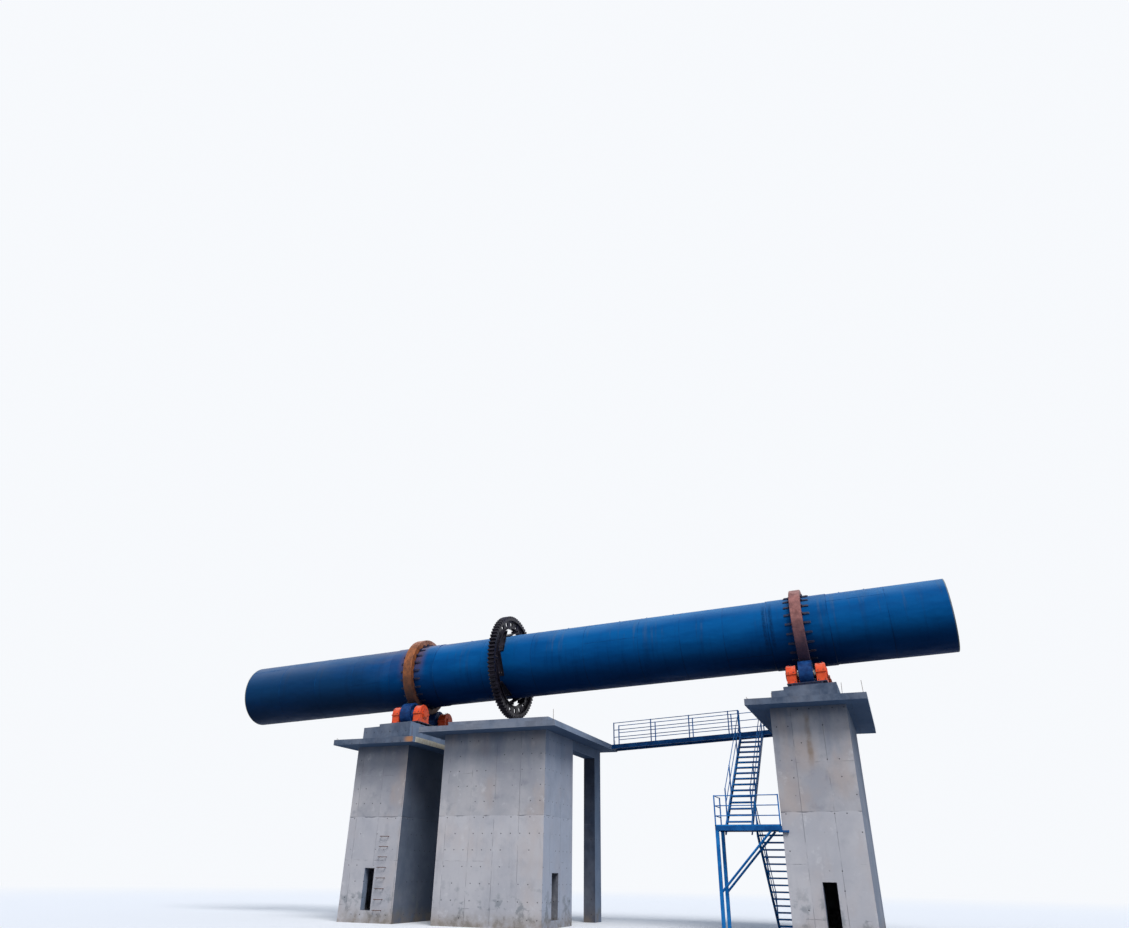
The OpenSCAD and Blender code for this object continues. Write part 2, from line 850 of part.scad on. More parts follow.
drive_wall_top = drive_slab_top - drive_slab_plate;
door_y0 = block_front + door_from_front;

module drive_pier_door_wall() {
    color("#8f8f92") difference() {
        block([block_x1 - wall, block_front, 0], [block_x1, block_back, drive_wall_top]);
        block([block_x1 - wall - 1, door_y0, door_foot], [block_x1 + 1, door_y0 + door_width, door_head]);
    }
}

module drive_pier_walls() {
    color("#8f8f92") difference() {
        block([block_x0, block_front, 0], [block_x1 - wall, block_back, drive_wall_top]);
        block([block_x0 + wall, block_front + wall, -1],
              [block_x1 - wall + 1, block_back - wall, drive_wall_top + 1]);
    }
}

module drive_pier_columns() {
    color("#8f8f92") for (x = [block_x0, block_x1 - column_l])
        block([x, column_front, 0], [x + column_l, column_front + column_d, drive_wall_top]);
}

// Beams under the slab tie the block to the rear columns
module drive_pier_beams() {
    color("#8f8f92") for (x = [block_x0, block_x1 - column_l])
        block([x, block_back, drive_wall_top - beam_depth], [x + column_l, column_front, drive_wall_top]);
}

module drive_pier_slab() {
    color("#9a9a9d") block([drive_slab_x0, -slab_reach, drive_wall_top],
                           [drive_slab_x1, slab_reach, drive_slab_top]);
}

// The low plinth that waits for the drive
module drive_pier_plinth() {
    x1 = drive_slab_x1 - drive_plinth_end;
    y0 = -slab_reach + drive_plinth_inset;
    color("#8f8f92") block([x1 - drive_plinth_l, y0, drive_slab_top],
                           [x1, y0 + drive_plinth_depth, drive_slab_top + drive_plinth_height]);
}

// Walkway

// Height of the walkway's top at a place along the kiln
function walk_top(x) = walk_top0 + walk_slope * (x - walk_x0);

// Side view of the walkway between two depths under its top
module walk_profile(depth_from, depth_to) {
    polygon([
        [walk_x0, walk_top0 - depth_to], [walk_x1, walk_top1 - depth_to],
        [walk_x1, walk_top1 - depth_from], [walk_x0, walk_top0 - depth_from]
    ]);
}

// The deck lies between two edge beams and meets both slabs edge to edge
module walkway_deck() {
    color("#2f5f9e") union() {
        for (y = [walk_front, walk_back - walk_beam_w])
            translate([0, y + walk_beam_w, 0]) rotate([90, 0, 0])
                linear_extrude(walk_beam_w) walk_profile(0, walk_beam);
        translate([0, walk_back - walk_beam_w / 2, 0]) rotate([90, 0, 0])
            linear_extrude(walk_width - walk_beam_w) walk_profile(deck_plate, 2 * deck_plate);
    }
}

// A square post whose foot and head follow the slope of what it stands on
module post(foot, next, height, d) {
    run = next - foot;
    rise = d / 2 * run[2] / norm([run[0], run[1]]);
    translate(foot) rotate([0, 0, atan2(run[1], run[0])]) translate([0, d / 2, 0])
        rotate([90, 0, 0]) linear_extrude(d)
            polygon([[-d / 2, -rise], [d / 2, rise], [d / 2, height + rise], [-d / 2, height - rise]]);
}

// A flat rail: posts on their feet, and bars that run parallel to the line of the feet
module rail_panel(feet, height, bars = 3, d = rail_d) {
    last = len(feet) - 1;
    for (k = [0 : last])
        post(feet[k], k < last ? feet[k + 1] : 2 * feet[k] - feet[k - 1], height, d);
    for (i = [1 : bars], k = [0 : last - 1]) {
        up = [0, 0, (height - d / 2) * i / bars];
        bar(feet[k] + up, feet[k + 1] + up, 0.8 * d);
    }
}

function walk_foot(x, y) = [x, y, walk_top(x) + seat];

// The front rail's posts stand opposite the rear rail's, up to the gate at the head of the stair
module walkway_rails() {
    x0 = walk_x0 + post_inset;
    x1 = walk_x1 - post_inset;
    y0 = walk_front + walk_beam_w / 2;
    y1 = walk_back - walk_beam_w / 2;
    gate_x0 = upper_flight_x0 - gate_gap;
    gate_x1 = upper_flight_x0 + flight_width + gate_gap;
    places = [for (i = [0 : walk_posts - 1]) x0 + (x1 - x0) * i / (walk_posts - 1)];
    before_gate = [for (x = places) if (x < gate_x0 - 2 * rail_d) x];
    color("#2f5f9e") union() {
        rail_panel([for (x = places) walk_foot(x, y1)], rail_height);
        rail_panel([for (x = concat(before_gate, [gate_x0])) walk_foot(x, y0)], rail_height);
        rail_panel([for (x = [gate_x1, x1]) walk_foot(x, y0)], rail_height);
    }
}

// Stair

module stair_landing() {
    x1 = landing_x1 - seat;
    z0 = landing_top - landing_beam;
    under = landing_top - deck_plate / 2;
    w = walk_beam_w;
    y_stub = -shaft_reach - seat;
    color("#2f5f9e") union() {
        block([landing_x0, landing_front, landing_top - deck_plate], [x1, landing_back, landing_top]);
        for (y = [landing_front, landing_back - w])
            block([landing_x0, y, z0], [x1, y + w, under]);
        for (x = [landing_x0, (landing_x0 + x1) / 2, x1 - w])
            block([x, landing_front + w / 2, z0], [x + w, landing_back - w / 2, under]);
        block([x1 - 2 * w, landing_front, z0 - bearer_height],
              [landing_x1 + bearer_reach, y_stub, z0 + 1]);
    }
}

// Two posts carry the free end of the landing, and a long brace runs up from each
module stair_posts() {
    half = post_size / 2;
    x = landing_x0 + half;
    top = landing_top - landing_beam - seat;
    color("#2f5f9e") union() for (y = [landing_front + half, landing_back - half]) {
        block([x - half, y - half, 0], [x + half, y + half, top]);
        difference() {
            bar([x, y, brace_foot], [x + brace_run, y, top], brace_size, 4);
            block([x - half, y - post_size, top], [landing_x1, y + post_size, top + post_size]);
        }
    }
}

// Depth of a stringer, measured upright
function upright_depth(run, rise) = stringer_depth * norm([run, rise]) / run;

// Part of a stringer, in side view from (0, 0) to (run, rise), between two depths under its top
module stringer_band(run, rise, depth_from, depth_to) {
    polygon([[0, -depth_from], [run, rise - depth_from], [run, rise - depth_to], [0, -depth_to]]);
}

// Stands a side view upright along +y, as a plate from x to x + thickness
module side_plate(x, thickness) {
    translate([x, 0, 0]) rotate([90, 0, 90]) linear_extrude(thickness) children();
}

// Two channels with their webs outside, and treads between them
module flight(run, rise, treads) {
    depth = upright_depth(run, rise);
    skin = stringer_plate * depth / stringer_depth;
    step = rise / (treads + 1);
    for (side = [0, 1]) {
        flange_x = side * (flight_width - stringer_flange);
        side_plate(side * (flight_width - stringer_plate), stringer_plate)
            stringer_band(run, rise, 0, depth);
        side_plate(flange_x, stringer_flange) stringer_band(run, rise, 0, skin);
        side_plate(flange_x, stringer_flange) stringer_band(run, rise, depth - skin, depth);
    }
    for (i = [1 : treads]) {
        tread_at = (i * step + (depth - tread_plate) / 2) * run / rise;
        translate([stringer_plate / 2, tread_at - tread_depth / 2, i * step - tread_plate])
            cube([flight_width - stringer_plate, tread_depth, tread_plate]);
    }
}

module stair_upper_flight() {
    run = walk_front - landing_back - 2 * seat;
    rise = walk_top(stair_x) - landing_top;
    color("#2f5f9e") translate([upper_flight_x0, landing_back + seat, landing_top]) union()
        flight(run, rise, upper_treads);
}

// The lower flight climbs from the ground back to the landing
module stair_lower_flight() {
    below = 2 * upright_depth(lower_run, landing_top);
    color("#2f5f9e") difference() {
        translate([lower_flight_x0 + flight_width, landing_back + seat + lower_run, 0])
            rotate([0, 0, 180]) flight(lower_run, landing_top, lower_treads);
        block([lower_flight_x0 - 1, landing_back, -below],
              [lower_flight_x0 + flight_width + 1, 2 * slab_reach, 0]);
    }
}

module landing_rails() {
    x0 = landing_x0 + rail_d / 2;
    x1 = landing_x1 - seat - rail_d;
    y0 = landing_front + rail_d / 2;
    y1 = landing_back - rail_d;
    z = landing_top + seat;
    color("#2f5f9e") union() {
        rail_panel([[x0, y0, z], [x1, y0, z]], stair_rail_height);
        rail_panel([[x0, y0, z], [x0, y1, z]], stair_rail_height);
    }
}

// Feet of a flight's posts, on the tops of its stringers, over the treads named
function flight_feet(x, p, q, treads, places) = [
    for (i = places) let (t = (i + 0.5) / (treads + 1))
        [x, p[0] + (q[0] - p[0]) * t, p[1] + (q[1] - p[1]) * t + seat]
];

module flight_rails(x0, p, q, treads, places) {
    inset = stringer_flange / 2;
    for (x = [x0 + inset, x0 + flight_width - inset])
        rail_panel(flight_feet(x, p, q, treads, places), stair_rail_height, 2);
}

module upper_flight_rails() {
    color("#2f5f9e") flight_rails(upper_flight_x0, [landing_back, landing_top],
                                  [walk_front, walk_top(stair_x)],
                                  upper_treads, [1, 5, round(0.75 * upper_treads), upper_treads]);
}

module lower_flight_rails() {
    y0 = landing_back + seat;
    color("#2f5f9e") flight_rails(lower_flight_x0, [y0 + lower_run, 0], [y0, landing_top],
                                  lower_treads, [1, round(0.5 * lower_treads), lower_treads]);
}

lower_end_shell();
lower_ring_shell();
gear_shell();
middle_shell();
upper_ring_shell();
upper_end_shell();
lifting_lugs();
lower_ring();
upper_ring();
lower_ring_pads();
upper_ring_pads();
girth_gear_top();
girth_gear_bottom();
girth_gear_springs();
lower_front_roller();
lower_rear_roller();
upper_front_roller();
upper_rear_roller();
lower_front_shaft();
lower_rear_shaft();
upper_front_shaft();
upper_rear_shaft();
lower_bearings();
upper_bearings();
lower_roller_base();
upper_roller_base();
lower_roller_trays();
upper_roller_trays();
lower_pier_front_wall();
lower_pier_walls();
lower_pier_slab();
lower_pier_plinth();
lower_pier_step_irons();
drive_pier_door_wall();
drive_pier_walls();
drive_pier_columns();
drive_pier_beams();
drive_pier_slab();
drive_pier_plinth();
upper_pier_front_wall();
upper_pier_walls();
upper_pier_slab();
upper_pier_plinth();
walkway_deck();
walkway_rails();
stair_landing();
stair_posts();
stair_upper_flight();
stair_lower_flight();
landing_rails();
upper_flight_rails();
lower_flight_rails();
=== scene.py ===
"""Looks of a rotary kiln on its piers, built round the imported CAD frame. Metres, +Z up."""

import json
import math
import random

import bmesh
import bpy
from mathutils import Matrix, Vector


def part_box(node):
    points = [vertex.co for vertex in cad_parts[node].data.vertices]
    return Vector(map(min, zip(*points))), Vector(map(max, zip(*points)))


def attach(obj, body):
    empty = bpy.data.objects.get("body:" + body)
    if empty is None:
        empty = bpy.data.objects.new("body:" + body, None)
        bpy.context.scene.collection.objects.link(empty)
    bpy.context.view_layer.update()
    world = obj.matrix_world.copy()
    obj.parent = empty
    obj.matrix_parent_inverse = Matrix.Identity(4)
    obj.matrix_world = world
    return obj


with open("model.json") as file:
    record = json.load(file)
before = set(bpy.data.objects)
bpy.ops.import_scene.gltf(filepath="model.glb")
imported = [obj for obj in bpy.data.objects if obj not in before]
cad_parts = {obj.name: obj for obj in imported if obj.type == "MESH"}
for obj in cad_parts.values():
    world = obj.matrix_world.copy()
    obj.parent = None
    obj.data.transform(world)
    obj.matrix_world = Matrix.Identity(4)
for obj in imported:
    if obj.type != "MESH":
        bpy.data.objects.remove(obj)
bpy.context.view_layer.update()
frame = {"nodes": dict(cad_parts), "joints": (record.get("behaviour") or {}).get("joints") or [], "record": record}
random.seed(7)

# Places and sizes worked out from the frame
JOINTS = {joint["name"]: joint for joint in frame["joints"]}
AXIS = Vector(JOINTS["kiln_turn"]["axis"]).normalized()
AXIS_POINT = Vector(JOINTS["kiln_turn"]["pos_m"])
SLOPE = math.atan2(AXIS.z, AXIS.x)
KILN = Matrix.Translation(AXIS_POINT) @ Matrix.Rotation(-SLOPE, 4, "Y")
Z_TO_X = Matrix.Rotation(math.pi / 2, 4, "Y")
SECTION_TO_X = Matrix(((0, 0, 1, 0), (1, 0, 0, 0), (0, 1, 0, 0), (0, 0, 0, 1)))


def low(node):
    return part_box(node)[0]


def high(node):
    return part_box(node)[1]


def along(node):
    """Place of a node's middle on the kiln's axis."""
    return ((low(node) + high(node)) / 2 - AXIS_POINT).dot(AXIS)


def span(node):
    """Both ends of a round node on the kiln's axis."""
    size = high(node) - low(node)
    half = (size.x - size.y * math.sin(SLOPE)) / math.cos(SLOPE) / 2
    return along(node) - half, along(node) + half


SHELL_PLATE = 0.025
SHELL_R = high("middle_shell").y
THICK_R = high("lower_ring_shell").y
RING_R = high("lower_ring").y
BORE_R = SHELL_R - SHELL_PLATE
SHELL_HALF = span("upper_end_shell")[1]
GEAR_AT = along("girth_gear_top")
RING_AT = {"lower": along("lower_ring"), "upper": along("upper_ring")}

# Number of plates that each length of shell is rolled from
PLATES = {"lower_end_shell": 4, "lower_ring_shell": 1, "gear_shell": 4, "middle_shell": 3,
          "upper_ring_shell": 1, "upper_end_shell": 2}


def plate_ends():
    """Start, length and outer radius of every plate of the shell, from its low end up."""
    plates = []
    for node, number in PLATES.items():
        start, end = span(node)
        step = (end - start) / number
        plates += [(start + i * step, step, high(node).y) for i in range(number)]
    return plates


def at(x, y=0.0, z=0.0):
    return Matrix.Translation((x, y, z))


def turn(degrees, axis):
    return Matrix.Rotation(math.radians(degrees), 4, axis)


# Materials
def srgb(red, green, blue):
    """A colour given as 0 to 255 sRGB, as Blender's linear RGBA."""
    return tuple((c / 255 / 12.92) if c < 10.3 else ((c / 255 + 0.055) / 1.055) ** 2.4
                 for c in (red, green, blue)) + (1.0,)


class Look:
    """One node material. Each call adds a node and gives back the socket it puts out."""

    def __init__(self, name, roughness=0.6, metallic=0.0, specular=0.3):
        self.material = bpy.data.materials.new(name)
        self.material.use_nodes = True
        self.nodes = self.material.node_tree.nodes
        self.links = self.material.node_tree.links
        self.shader = self.nodes["Principled BSDF"]
        self.shader.inputs["Roughness"].default_value = roughness
        self.shader.inputs["Metallic"].default_value = metallic
        self.shader.inputs["Specular IOR Level"].default_value = specular

    def put(self, socket, value):
        if isinstance(value, bpy.types.NodeSocket):
            self.links.new(value, socket)
        else:
            socket.default_value = value

    def add(self, kind, inputs, out=0, **settings):
        node = self.nodes.new("ShaderNode" + kind)
        for key, value in settings.items():
            setattr(node, key, value)
        for key, value in inputs.items():
            self.put(node.inputs[key], value)
        return node.outputs[out]

    def math(self, operation, *values):
        return self.add("Math", dict(enumerate(values)), operation=operation)

    def here(self):
        return self.add("TexCoord", {}, out="Object")

    def facing(self):
        """The way the surface faces, as x, y and z."""
        return self.split(self.add("TexCoord", {}, out="Normal"))

    def on_kiln(self):
        """Coordinates along and across the kiln's sloping axis."""
        return self.add("Mapping", {"Vector": self.here(), "Location": AXIS_POINT,
                                    "Rotation": (0, -SLOPE, 0)}, vector_type="TEXTURE")

    def stretch(self, where, scale):
        return self.add("Mapping", {"Vector": where, "Scale": scale})

    def split(self, where):
        node = self.nodes.new("ShaderNodeSeparateXYZ")
        self.put(node.inputs[0], where)
        return node.outputs[0], node.outputs[1], node.outputs[2]

    def join(self, x, y, z=0.0):
        return self.add("CombineXYZ", {0: x, 1: y, 2: z})

    def length(self, a, b):
        squares = [self.math("MULTIPLY", side, side) for side in (a, b)]
        return self.math("SQRT", self.math("ADD", *squares))

    def apart(self, a, b):
        """How far apart two values are."""
        return self.math("ABSOLUTE", self.math("SUBTRACT", a, b))

    def noise(self, where, scale, detail=4.0, roughness=0.55):
        return self.add("TexNoise", {"Vector": where, "Scale": scale, "Detail": detail,
                                     "Roughness": roughness})

    def fade(self, value, start, end, low=0.0, high=1.0):
        """Runs smoothly from low to high while the value runs from start to end."""
        return self.add("MapRange", {"Value": value, "From Min": start, "From Max": end,
                                     "To Min": low, "To Max": high}, interpolation_type="SMOOTHSTEP")

    def mix(self, share, under, over):
        return self.add("Mix", {0: share, 6: under, 7: over}, out=2, data_type="RGBA")

    def value(self, given):
        """A fade given as (value, start, end, ...), a value given by its name, or what is given."""
        if isinstance(given, tuple):
            return self.fade(self.value(given[0]), *given[1:])
        return getattr(self, given) if isinstance(given, str) else given

    def both(self, *given):
        """The product of what is given."""
        total, *others = map(self.value, given)
        for other in others:
            total = self.math("MULTIPLY", total, other)
        return total

    def lay(self, under, over, *shares):
        """Lays a tone over another by the product of the shares. A triple is sRGB."""
        tones = [srgb(*tone) if isinstance(tone, tuple) else self.value(tone) for tone in (under, over)]
        return self.mix(self.both(*shares), *tones)

    def lay_all(self, colour, marks):
        for mark in marks:
            colour = self.lay(colour, *mark)
        return colour

    def near_box(self, place, box, margin):
        """1 within a box widened by the margin, 0 outside it."""
        reach = -1.0
        for value, first, last in zip(place, *box):
            past = self.math("SUBTRACT", self.apart(value, (first + last) / 2), (last - first) / 2)
            reach = self.math("MAXIMUM", reach, past)
        return self.math("LESS_THAN", reach, margin)

    def bump(self, *layers):
        """Layers of (height, distance in metres), each over the one before."""
        normal = None
        for height, distance in layers:
            inputs = {"Height": height, "Distance": distance, "Strength": 1.0}
            if normal is not None:
                inputs["Normal"] = normal
            normal = self.add("Bump", inputs)
        self.put(self.shader.inputs["Normal"], normal)

    def finish(self, colour, roughness=None):
        self.put(self.shader.inputs["Base Color"], colour)
        if roughness is not None:
            self.put(self.shader.inputs["Roughness"], roughness)
        return self.material


# Places on the kiln's axis, from its mid-length
DARK_BANDS_AT = (10.98, 11.3)
RUST_DUST_AT = -9.6
BARE_EDGE = 0.045
BARE_FROM = SHELL_HALF - BARE_EDGE

# Marks on the shell's paint, in the order they are laid
SHELL_MARKS = [
    # Lighter clouds and darker streaks in the blue
    ((8, 94, 156), ("cloud", 0.34, 0.68, 0.0, 0.6)),
    ((2, 50, 96), ("streak", 0.5, 0.72, 0.0, 0.4)),
    # Painted shade underneath, a crown paler with dust and painted light, faint runs of water
    ((0, 31, 71), ("up", 0.0, -0.95), ("cloud", 0.2, 0.65, 0.7, 1.0)),
    # Painted light: the crown paler blue, partly dust
    ((84, 130, 172), ("up", 0.42, 1.0), ("patch", 0.32, 0.6, 0.3, 0.85)),
    ((84, 116, 150), ("streak", 0.55, 0.7), ("up", -0.5, 0.6), ("cloud", 0.4, 0.6), 0.28),
    # Brown dust beside the lower ring, and rust washed off it
    ((104, 92, 96), ("off_dust", 1.9, 0.3), ("up", -0.3, 0.75), ("cloud", 0.3, 0.6), 0.55),
    ((112, 74, 58), ("off_ring", 0.95, 0.4), ("up", -0.5, 0.5), ("speck", 0.25, 0.6, 0.5, 1.0), 0.6),
    # Thicker dust on the crown below the gear
    ((142, 122, 128), ("s", -3.5, -6.5), ("up", 0.72, 1.0), ("cloud", 0.25, 0.6), 0.6),
    # A dull, dusty low end, in painted shade underneath and paler on top, partly painted light
    ("dull", ("s", -8.4, -11.5), ("cloud", 0.25, 0.6, 0.6, 1.0), 0.68),
    ((118, 122, 146), ("s", -8.0, -15.0), ("up", 0.3, 1.0), ("cloud", 0.35, 0.6), 0.4),
    # Two dark bands on the front, below the upper ring
    *[((12, 18, 42), (off_band, 0.13, 0.02), ("speck", 0.35, 0.6, 0.3, 1.0), ("y", 0.2, -0.6),
       ("up", 0.9, 0.4), ("up", -0.75, -0.4), 0.6) for off_band in ("off_low_band", "off_high_band")],
    # A strip of bare steel at each end, and rust in the bore
    ("bare_steel", ("from_middle", BARE_FROM - 0.01, BARE_FROM + 0.01), 0.75),
    ("bore_rust", "in_bore"),
]


class ShellLook(Look):
    """Deep blue paint, in painted shade underneath and paler along the crown with dust and painted light."""

    def __init__(self):
        super().__init__("shell_paint", 0.52, specular=0.03)
        here = self.on_kiln()
        self.s, self.y, z = self.split(here)
        radius = self.length(self.y, z)
        self.up = self.math("DIVIDE", z, radius)
        self.cloud = self.noise(self.stretch(here, (0.3, 1.0, 1.0)), 0.9, 5.0)
        self.speck = self.noise(here, 14.0, 6.0, 0.65)
        self.streak = self.noise(self.stretch(here, (2.6, 0.2, 0.2)), 1.5, 5.0, 0.6)
        self.patch = self.math("ADD", self.both("cloud", 0.6), self.both("speck", 0.4))
        self.off_dust = self.apart(self.s, RUST_DUST_AT)
        self.off_ring = self.apart(self.s, RING_AT["lower"])
        self.off_low_band, self.off_high_band = [self.apart(self.s, place) for place in DARK_BANDS_AT]
        self.from_middle = self.math("ABSOLUTE", self.s)
        self.in_bore = self.math("LESS_THAN", radius, BORE_R + 0.006)
        # Painted shade: the low end's tone darker underneath, paler on top
        self.dull = self.lay((18, 38, 62), (72, 92, 116), ("up", 0.0, 0.9))
        self.bare_steel = self.lay((96, 104, 104), (158, 158, 138), "speck")
        self.bore_rust = self.lay((70, 44, 34), (122, 78, 58), "speck")
        swell = self.noise(self.stretch(here, (0.5, 1.0, 1.0)), 1.4, 2.0)
        self.bump((swell, 0.06), (self.speck, 0.004), (self.noise(here, 60.0, 3.0), 0.0012))
        colour = self.lay_all(self.blue(), SHELL_MARKS)
        self.finish(colour, self.fade(self.patch, 0.35, 0.65, 0.4, 0.66))

    def blue(self):
        """The paint's blue, a shade of its own on each plate."""
        number = 0.0
        for start in [plate[0] for plate in plate_ends()][1:]:
            number = self.math("ADD", number, self.math("GREATER_THAN", self.s, start))
        tone = self.add("TexWhiteNoise", {"W": number}, out="Value", noise_dimensions="1D")
        return self.lay((0, 64, 120), (2, 76, 136), tone)


def weld_look():
    """Weld beads under the same paint, with the ripple of their passes, in painted shade underneath and paler on
    top with dust and painted light.
    """
    look = Look("weld_paint", 0.55, specular=0.03)
    here = look.on_kiln()
    up = look.split(here)[2]
    ripple = look.noise(here, 32.0, 2.0)
    cloud = look.noise(here, 2.0, 4.0)
    colour = look.lay((2, 56, 108), (12, 80, 136), (cloud, 0.35, 0.65))
    # Paler on top with dust and painted light, and painted shade underneath, as on the shell
    colour = look.lay(colour, (108, 122, 150), (up, 0.7, 1.6), (cloud, 0.4, 0.7))
    colour = look.lay(colour, (13, 30, 60), (up, 0.2, -1.3))
    look.bump((ripple, 0.006), (look.noise(here, 110.0, 2.0), 0.001))
    return look.finish(colour)


def ring_look():
    """Cast rings: rust in patches over a turned face, browner on the lower ring, dust on their tops."""
    look = Look("ring_steel", 0.62, 0.25)
    here = look.on_kiln()
    s, y, z = look.split(here)
    face = look.math("GREATER_THAN", look.length(y, z), RING_R - 0.012)
    patch = look.noise(here, 2.6, 8.0, 0.65)
    fine = look.noise(here, 38.0, 6.0, 0.7)
    turned = look.noise(look.stretch(here, (26.0, 0.5, 0.5)), 6.0, 2.0)
    is_upper = look.math("GREATER_THAN", s, 0.0)
    dark = look.lay((104, 58, 36), (104, 60, 58), is_upper)
    light = look.lay((172, 100, 54), (160, 104, 98), is_upper)
    worn = look.lay((150, 104, 74), (146, 112, 110), is_upper)
    # Darker towards the bottom, with grime and painted shade; navy on the upper ring
    low_grime_and_shade = look.lay((52, 40, 40), (24, 34, 60), is_upper)
    colour = look.lay(dark, light, (patch, 0.34, 0.66))
    colour = look.lay(colour, (66, 38, 36), (fine, 0.45, 0.72, 0.0, 0.6))
    colour = look.lay(colour, worn, face, (turned, 0.42, 0.62), 0.5, 0.7)
    colour = look.lay(colour, low_grime_and_shade, (z, 0.5, -1.5, 0.0, 0.85))
    colour = look.lay(colour, (176, 150, 146), (z, 1.2, 2.0), (patch, 0.35, 0.6), 0.55)
    look.bump((patch, 0.004), (fine, 0.0025), (look.both(turned, face), 0.0012))
    return look.finish(colour, look.fade(fine, 0.3, 0.7, 0.5, 0.78))


def pad_look():
    """Pads and stop blocks, painted with the shell and rusting where they rub."""
    look = Look("pad_steel", 0.6, 0.1)
    here = look.on_kiln()
    patch = look.noise(here, 7.0, 6.0, 0.65)
    fine = look.noise(here, 45.0, 4.0)
    up = look.split(here)[2]
    colour = look.lay((16, 38, 74), (54, 46, 62), (patch, 0.42, 0.62))
    colour = look.lay(colour, (96, 84, 92), (fine, 0.5, 0.75, 0.0, 0.5))
    # Painted shade: darker underneath
    colour = look.lay(colour, (12, 22, 44), (up, 0.0, -1.5, 0.0, 0.7))
    look.bump((patch, 0.002), (fine, 0.001))
    return look.finish(colour)


def gear_look():
    """Dark cast steel: oily flanks, dry dust on the top of the rim."""
    look = Look("gear_steel", 0.5, 0.45)
    here = look.on_kiln()
    up = look.split(here)[2]
    patch = look.noise(here, 3.2, 7.0, 0.6)
    fine = look.noise(here, 50.0, 5.0, 0.65)
    colour = look.lay((14, 14, 26), (34, 30, 42), (patch, 0.36, 0.64))
    colour = look.lay(colour, (62, 46, 50), (fine, 0.52, 0.72, 0.0, 0.6))
    colour = look.lay(colour, (78, 80, 100), (up, 1.4, 2.7), (patch, 0.4, 0.65), 0.5)
    look.bump((patch, 0.003), (fine, 0.0018))
    return look.finish(colour, look.fade(patch, 0.35, 0.65, 0.36, 0.66))


def roller_look():
    """Navy coat over a cast roller, with a greasy running face."""
    look = Look("roller_paint", 0.42, specular=0.12)
    here = look.here()
    patch = look.noise(here, 4.0, 6.0)
    fine = look.noise(here, 60.0, 4.0)
    colour = look.lay((10, 44, 92), (24, 66, 120), (patch, 0.36, 0.66))
    colour = look.lay(colour, (88, 80, 96), (fine, 0.58, 0.75, 0.0, 0.55))
    look.bump((patch, 0.001), (fine, 0.0006))
    return look.finish(colour, look.fade(patch, 0.3, 0.7, 0.32, 0.55))


def steel_look():
    """Turned shafts with a brown film of oil."""
    look = Look("shaft_steel", 0.34, 0.9)
    here = look.on_kiln()
    turned = look.noise(look.stretch(here, (40.0, 0.6, 0.6)), 5.0, 2.0)
    film = look.noise(here, 9.0, 5.0)
    colour = look.lay((176, 174, 172), (120, 96, 74), (film, 0.38, 0.68))
    look.bump((turned, 0.0005))
    return look.finish(colour, look.fade(film, 0.35, 0.7, 0.28, 0.5))


def bearing_look():
    """Orange paint with handling grime, dusty on top."""
    look = Look("bearing_paint", 0.45)
    here = look.here()
    patch = look.noise(here, 3.4, 7.0, 0.62)
    fine = look.noise(here, 42.0, 5.0, 0.7)
    colour = look.lay((214, 66, 28), (246, 96, 44), (patch, 0.3, 0.7))
    colour = look.lay(colour, (150, 62, 52), (patch, 0.5, 0.68), 0.5)
    colour = look.lay(colour, (70, 46, 52), (fine, 0.6, 0.74, 0.0, 0.7))
    colour = look.lay(colour, (222, 178, 170), (look.facing()[2], 0.4, 1.0), (patch, 0.35, 0.6), 0.42)
    look.bump((patch, 0.0015), (fine, 0.0008))
    return look.finish(colour, look.fade(patch, 0.3, 0.7, 0.36, 0.6))


def base_look():
    """Dark navy base frames with rust along their plates."""
    look = Look("base_paint", 0.55)
    here = look.here()
    patch = look.noise(here, 5.0, 7.0, 0.65)
    fine = look.noise(here, 55.0, 4.0)
    colour = look.lay((18, 34, 68), (42, 48, 70), (patch, 0.36, 0.6))
    colour = look.lay(colour, (112, 66, 46), (patch, 0.56, 0.7, 0.0, 0.75))
    colour = look.lay(colour, (150, 110, 90), (fine, 0.55, 0.75, 0.0, 0.35))
    look.bump((patch, 0.0015), (fine, 0.0008))
    return look.finish(colour)


def stair_look():
    """Blue paint on rolled sections, chipped to rust in small spots and dusty where it lies flat."""
    look = Look("stair_paint", 0.48, specular=0.1)
    here = look.here()
    patch = look.noise(here, 2.6, 6.0, 0.6)
    fine = look.noise(here, 70.0, 4.0, 0.7)
    up = look.facing()[2]
    colour = look.lay((14, 96, 164), (34, 124, 194), (patch, 0.34, 0.66))
    colour = look.lay(colour, (108, 64, 50), (fine, 0.66, 0.72), (patch, 0.5, 0.62))
    colour = look.lay(colour, (128, 138, 152), (up, 0.6, 1.0), (patch, 0.3, 0.6), 0.5)
    # Painted shade on faces that look down
    colour = look.lay(colour, (14, 36, 70), (up, -0.3, -1.0, 0.0, 0.55))
    look.bump((patch, 0.001), (fine, 0.0005))
    return look.finish(colour, look.fade(patch, 0.3, 0.7, 0.4, 0.62))


BAR_PITCH = 0.06
BAR_HALF_WIDTH = (0.016, 0.006)


def deck_look():
    """Chequer plate in the stairs' blue, with raised bars both ways."""
    look = Look("deck_paint", 0.5, specular=0.1)
    here = look.here()
    x, y = look.split(here)[:2]
    patch = look.noise(here, 2.2, 6.0, 0.6)
    up = look.facing()[2]
    bars = [look.fade(look.math("PINGPONG", look.math(way, x, y), BAR_PITCH), *BAR_HALF_WIDTH)
            for way in ("ADD", "SUBTRACT")]
    colour = look.lay((8, 64, 120), (28, 94, 156), (patch, 0.34, 0.66))
    colour = look.lay(colour, (122, 126, 134), (up, 0.6, 1.0), (patch, 0.3, 0.6, 0.2, 0.75))
    # Painted shade on faces that look down
    colour = look.lay(colour, (12, 30, 60), (up, -0.2, -1.0, 0.0, 0.6))
    look.bump((look.both(look.math("MAXIMUM", *bars), (up, 0.6, 0.9)), 0.003), (patch, 0.001))
    return look.finish(colour)


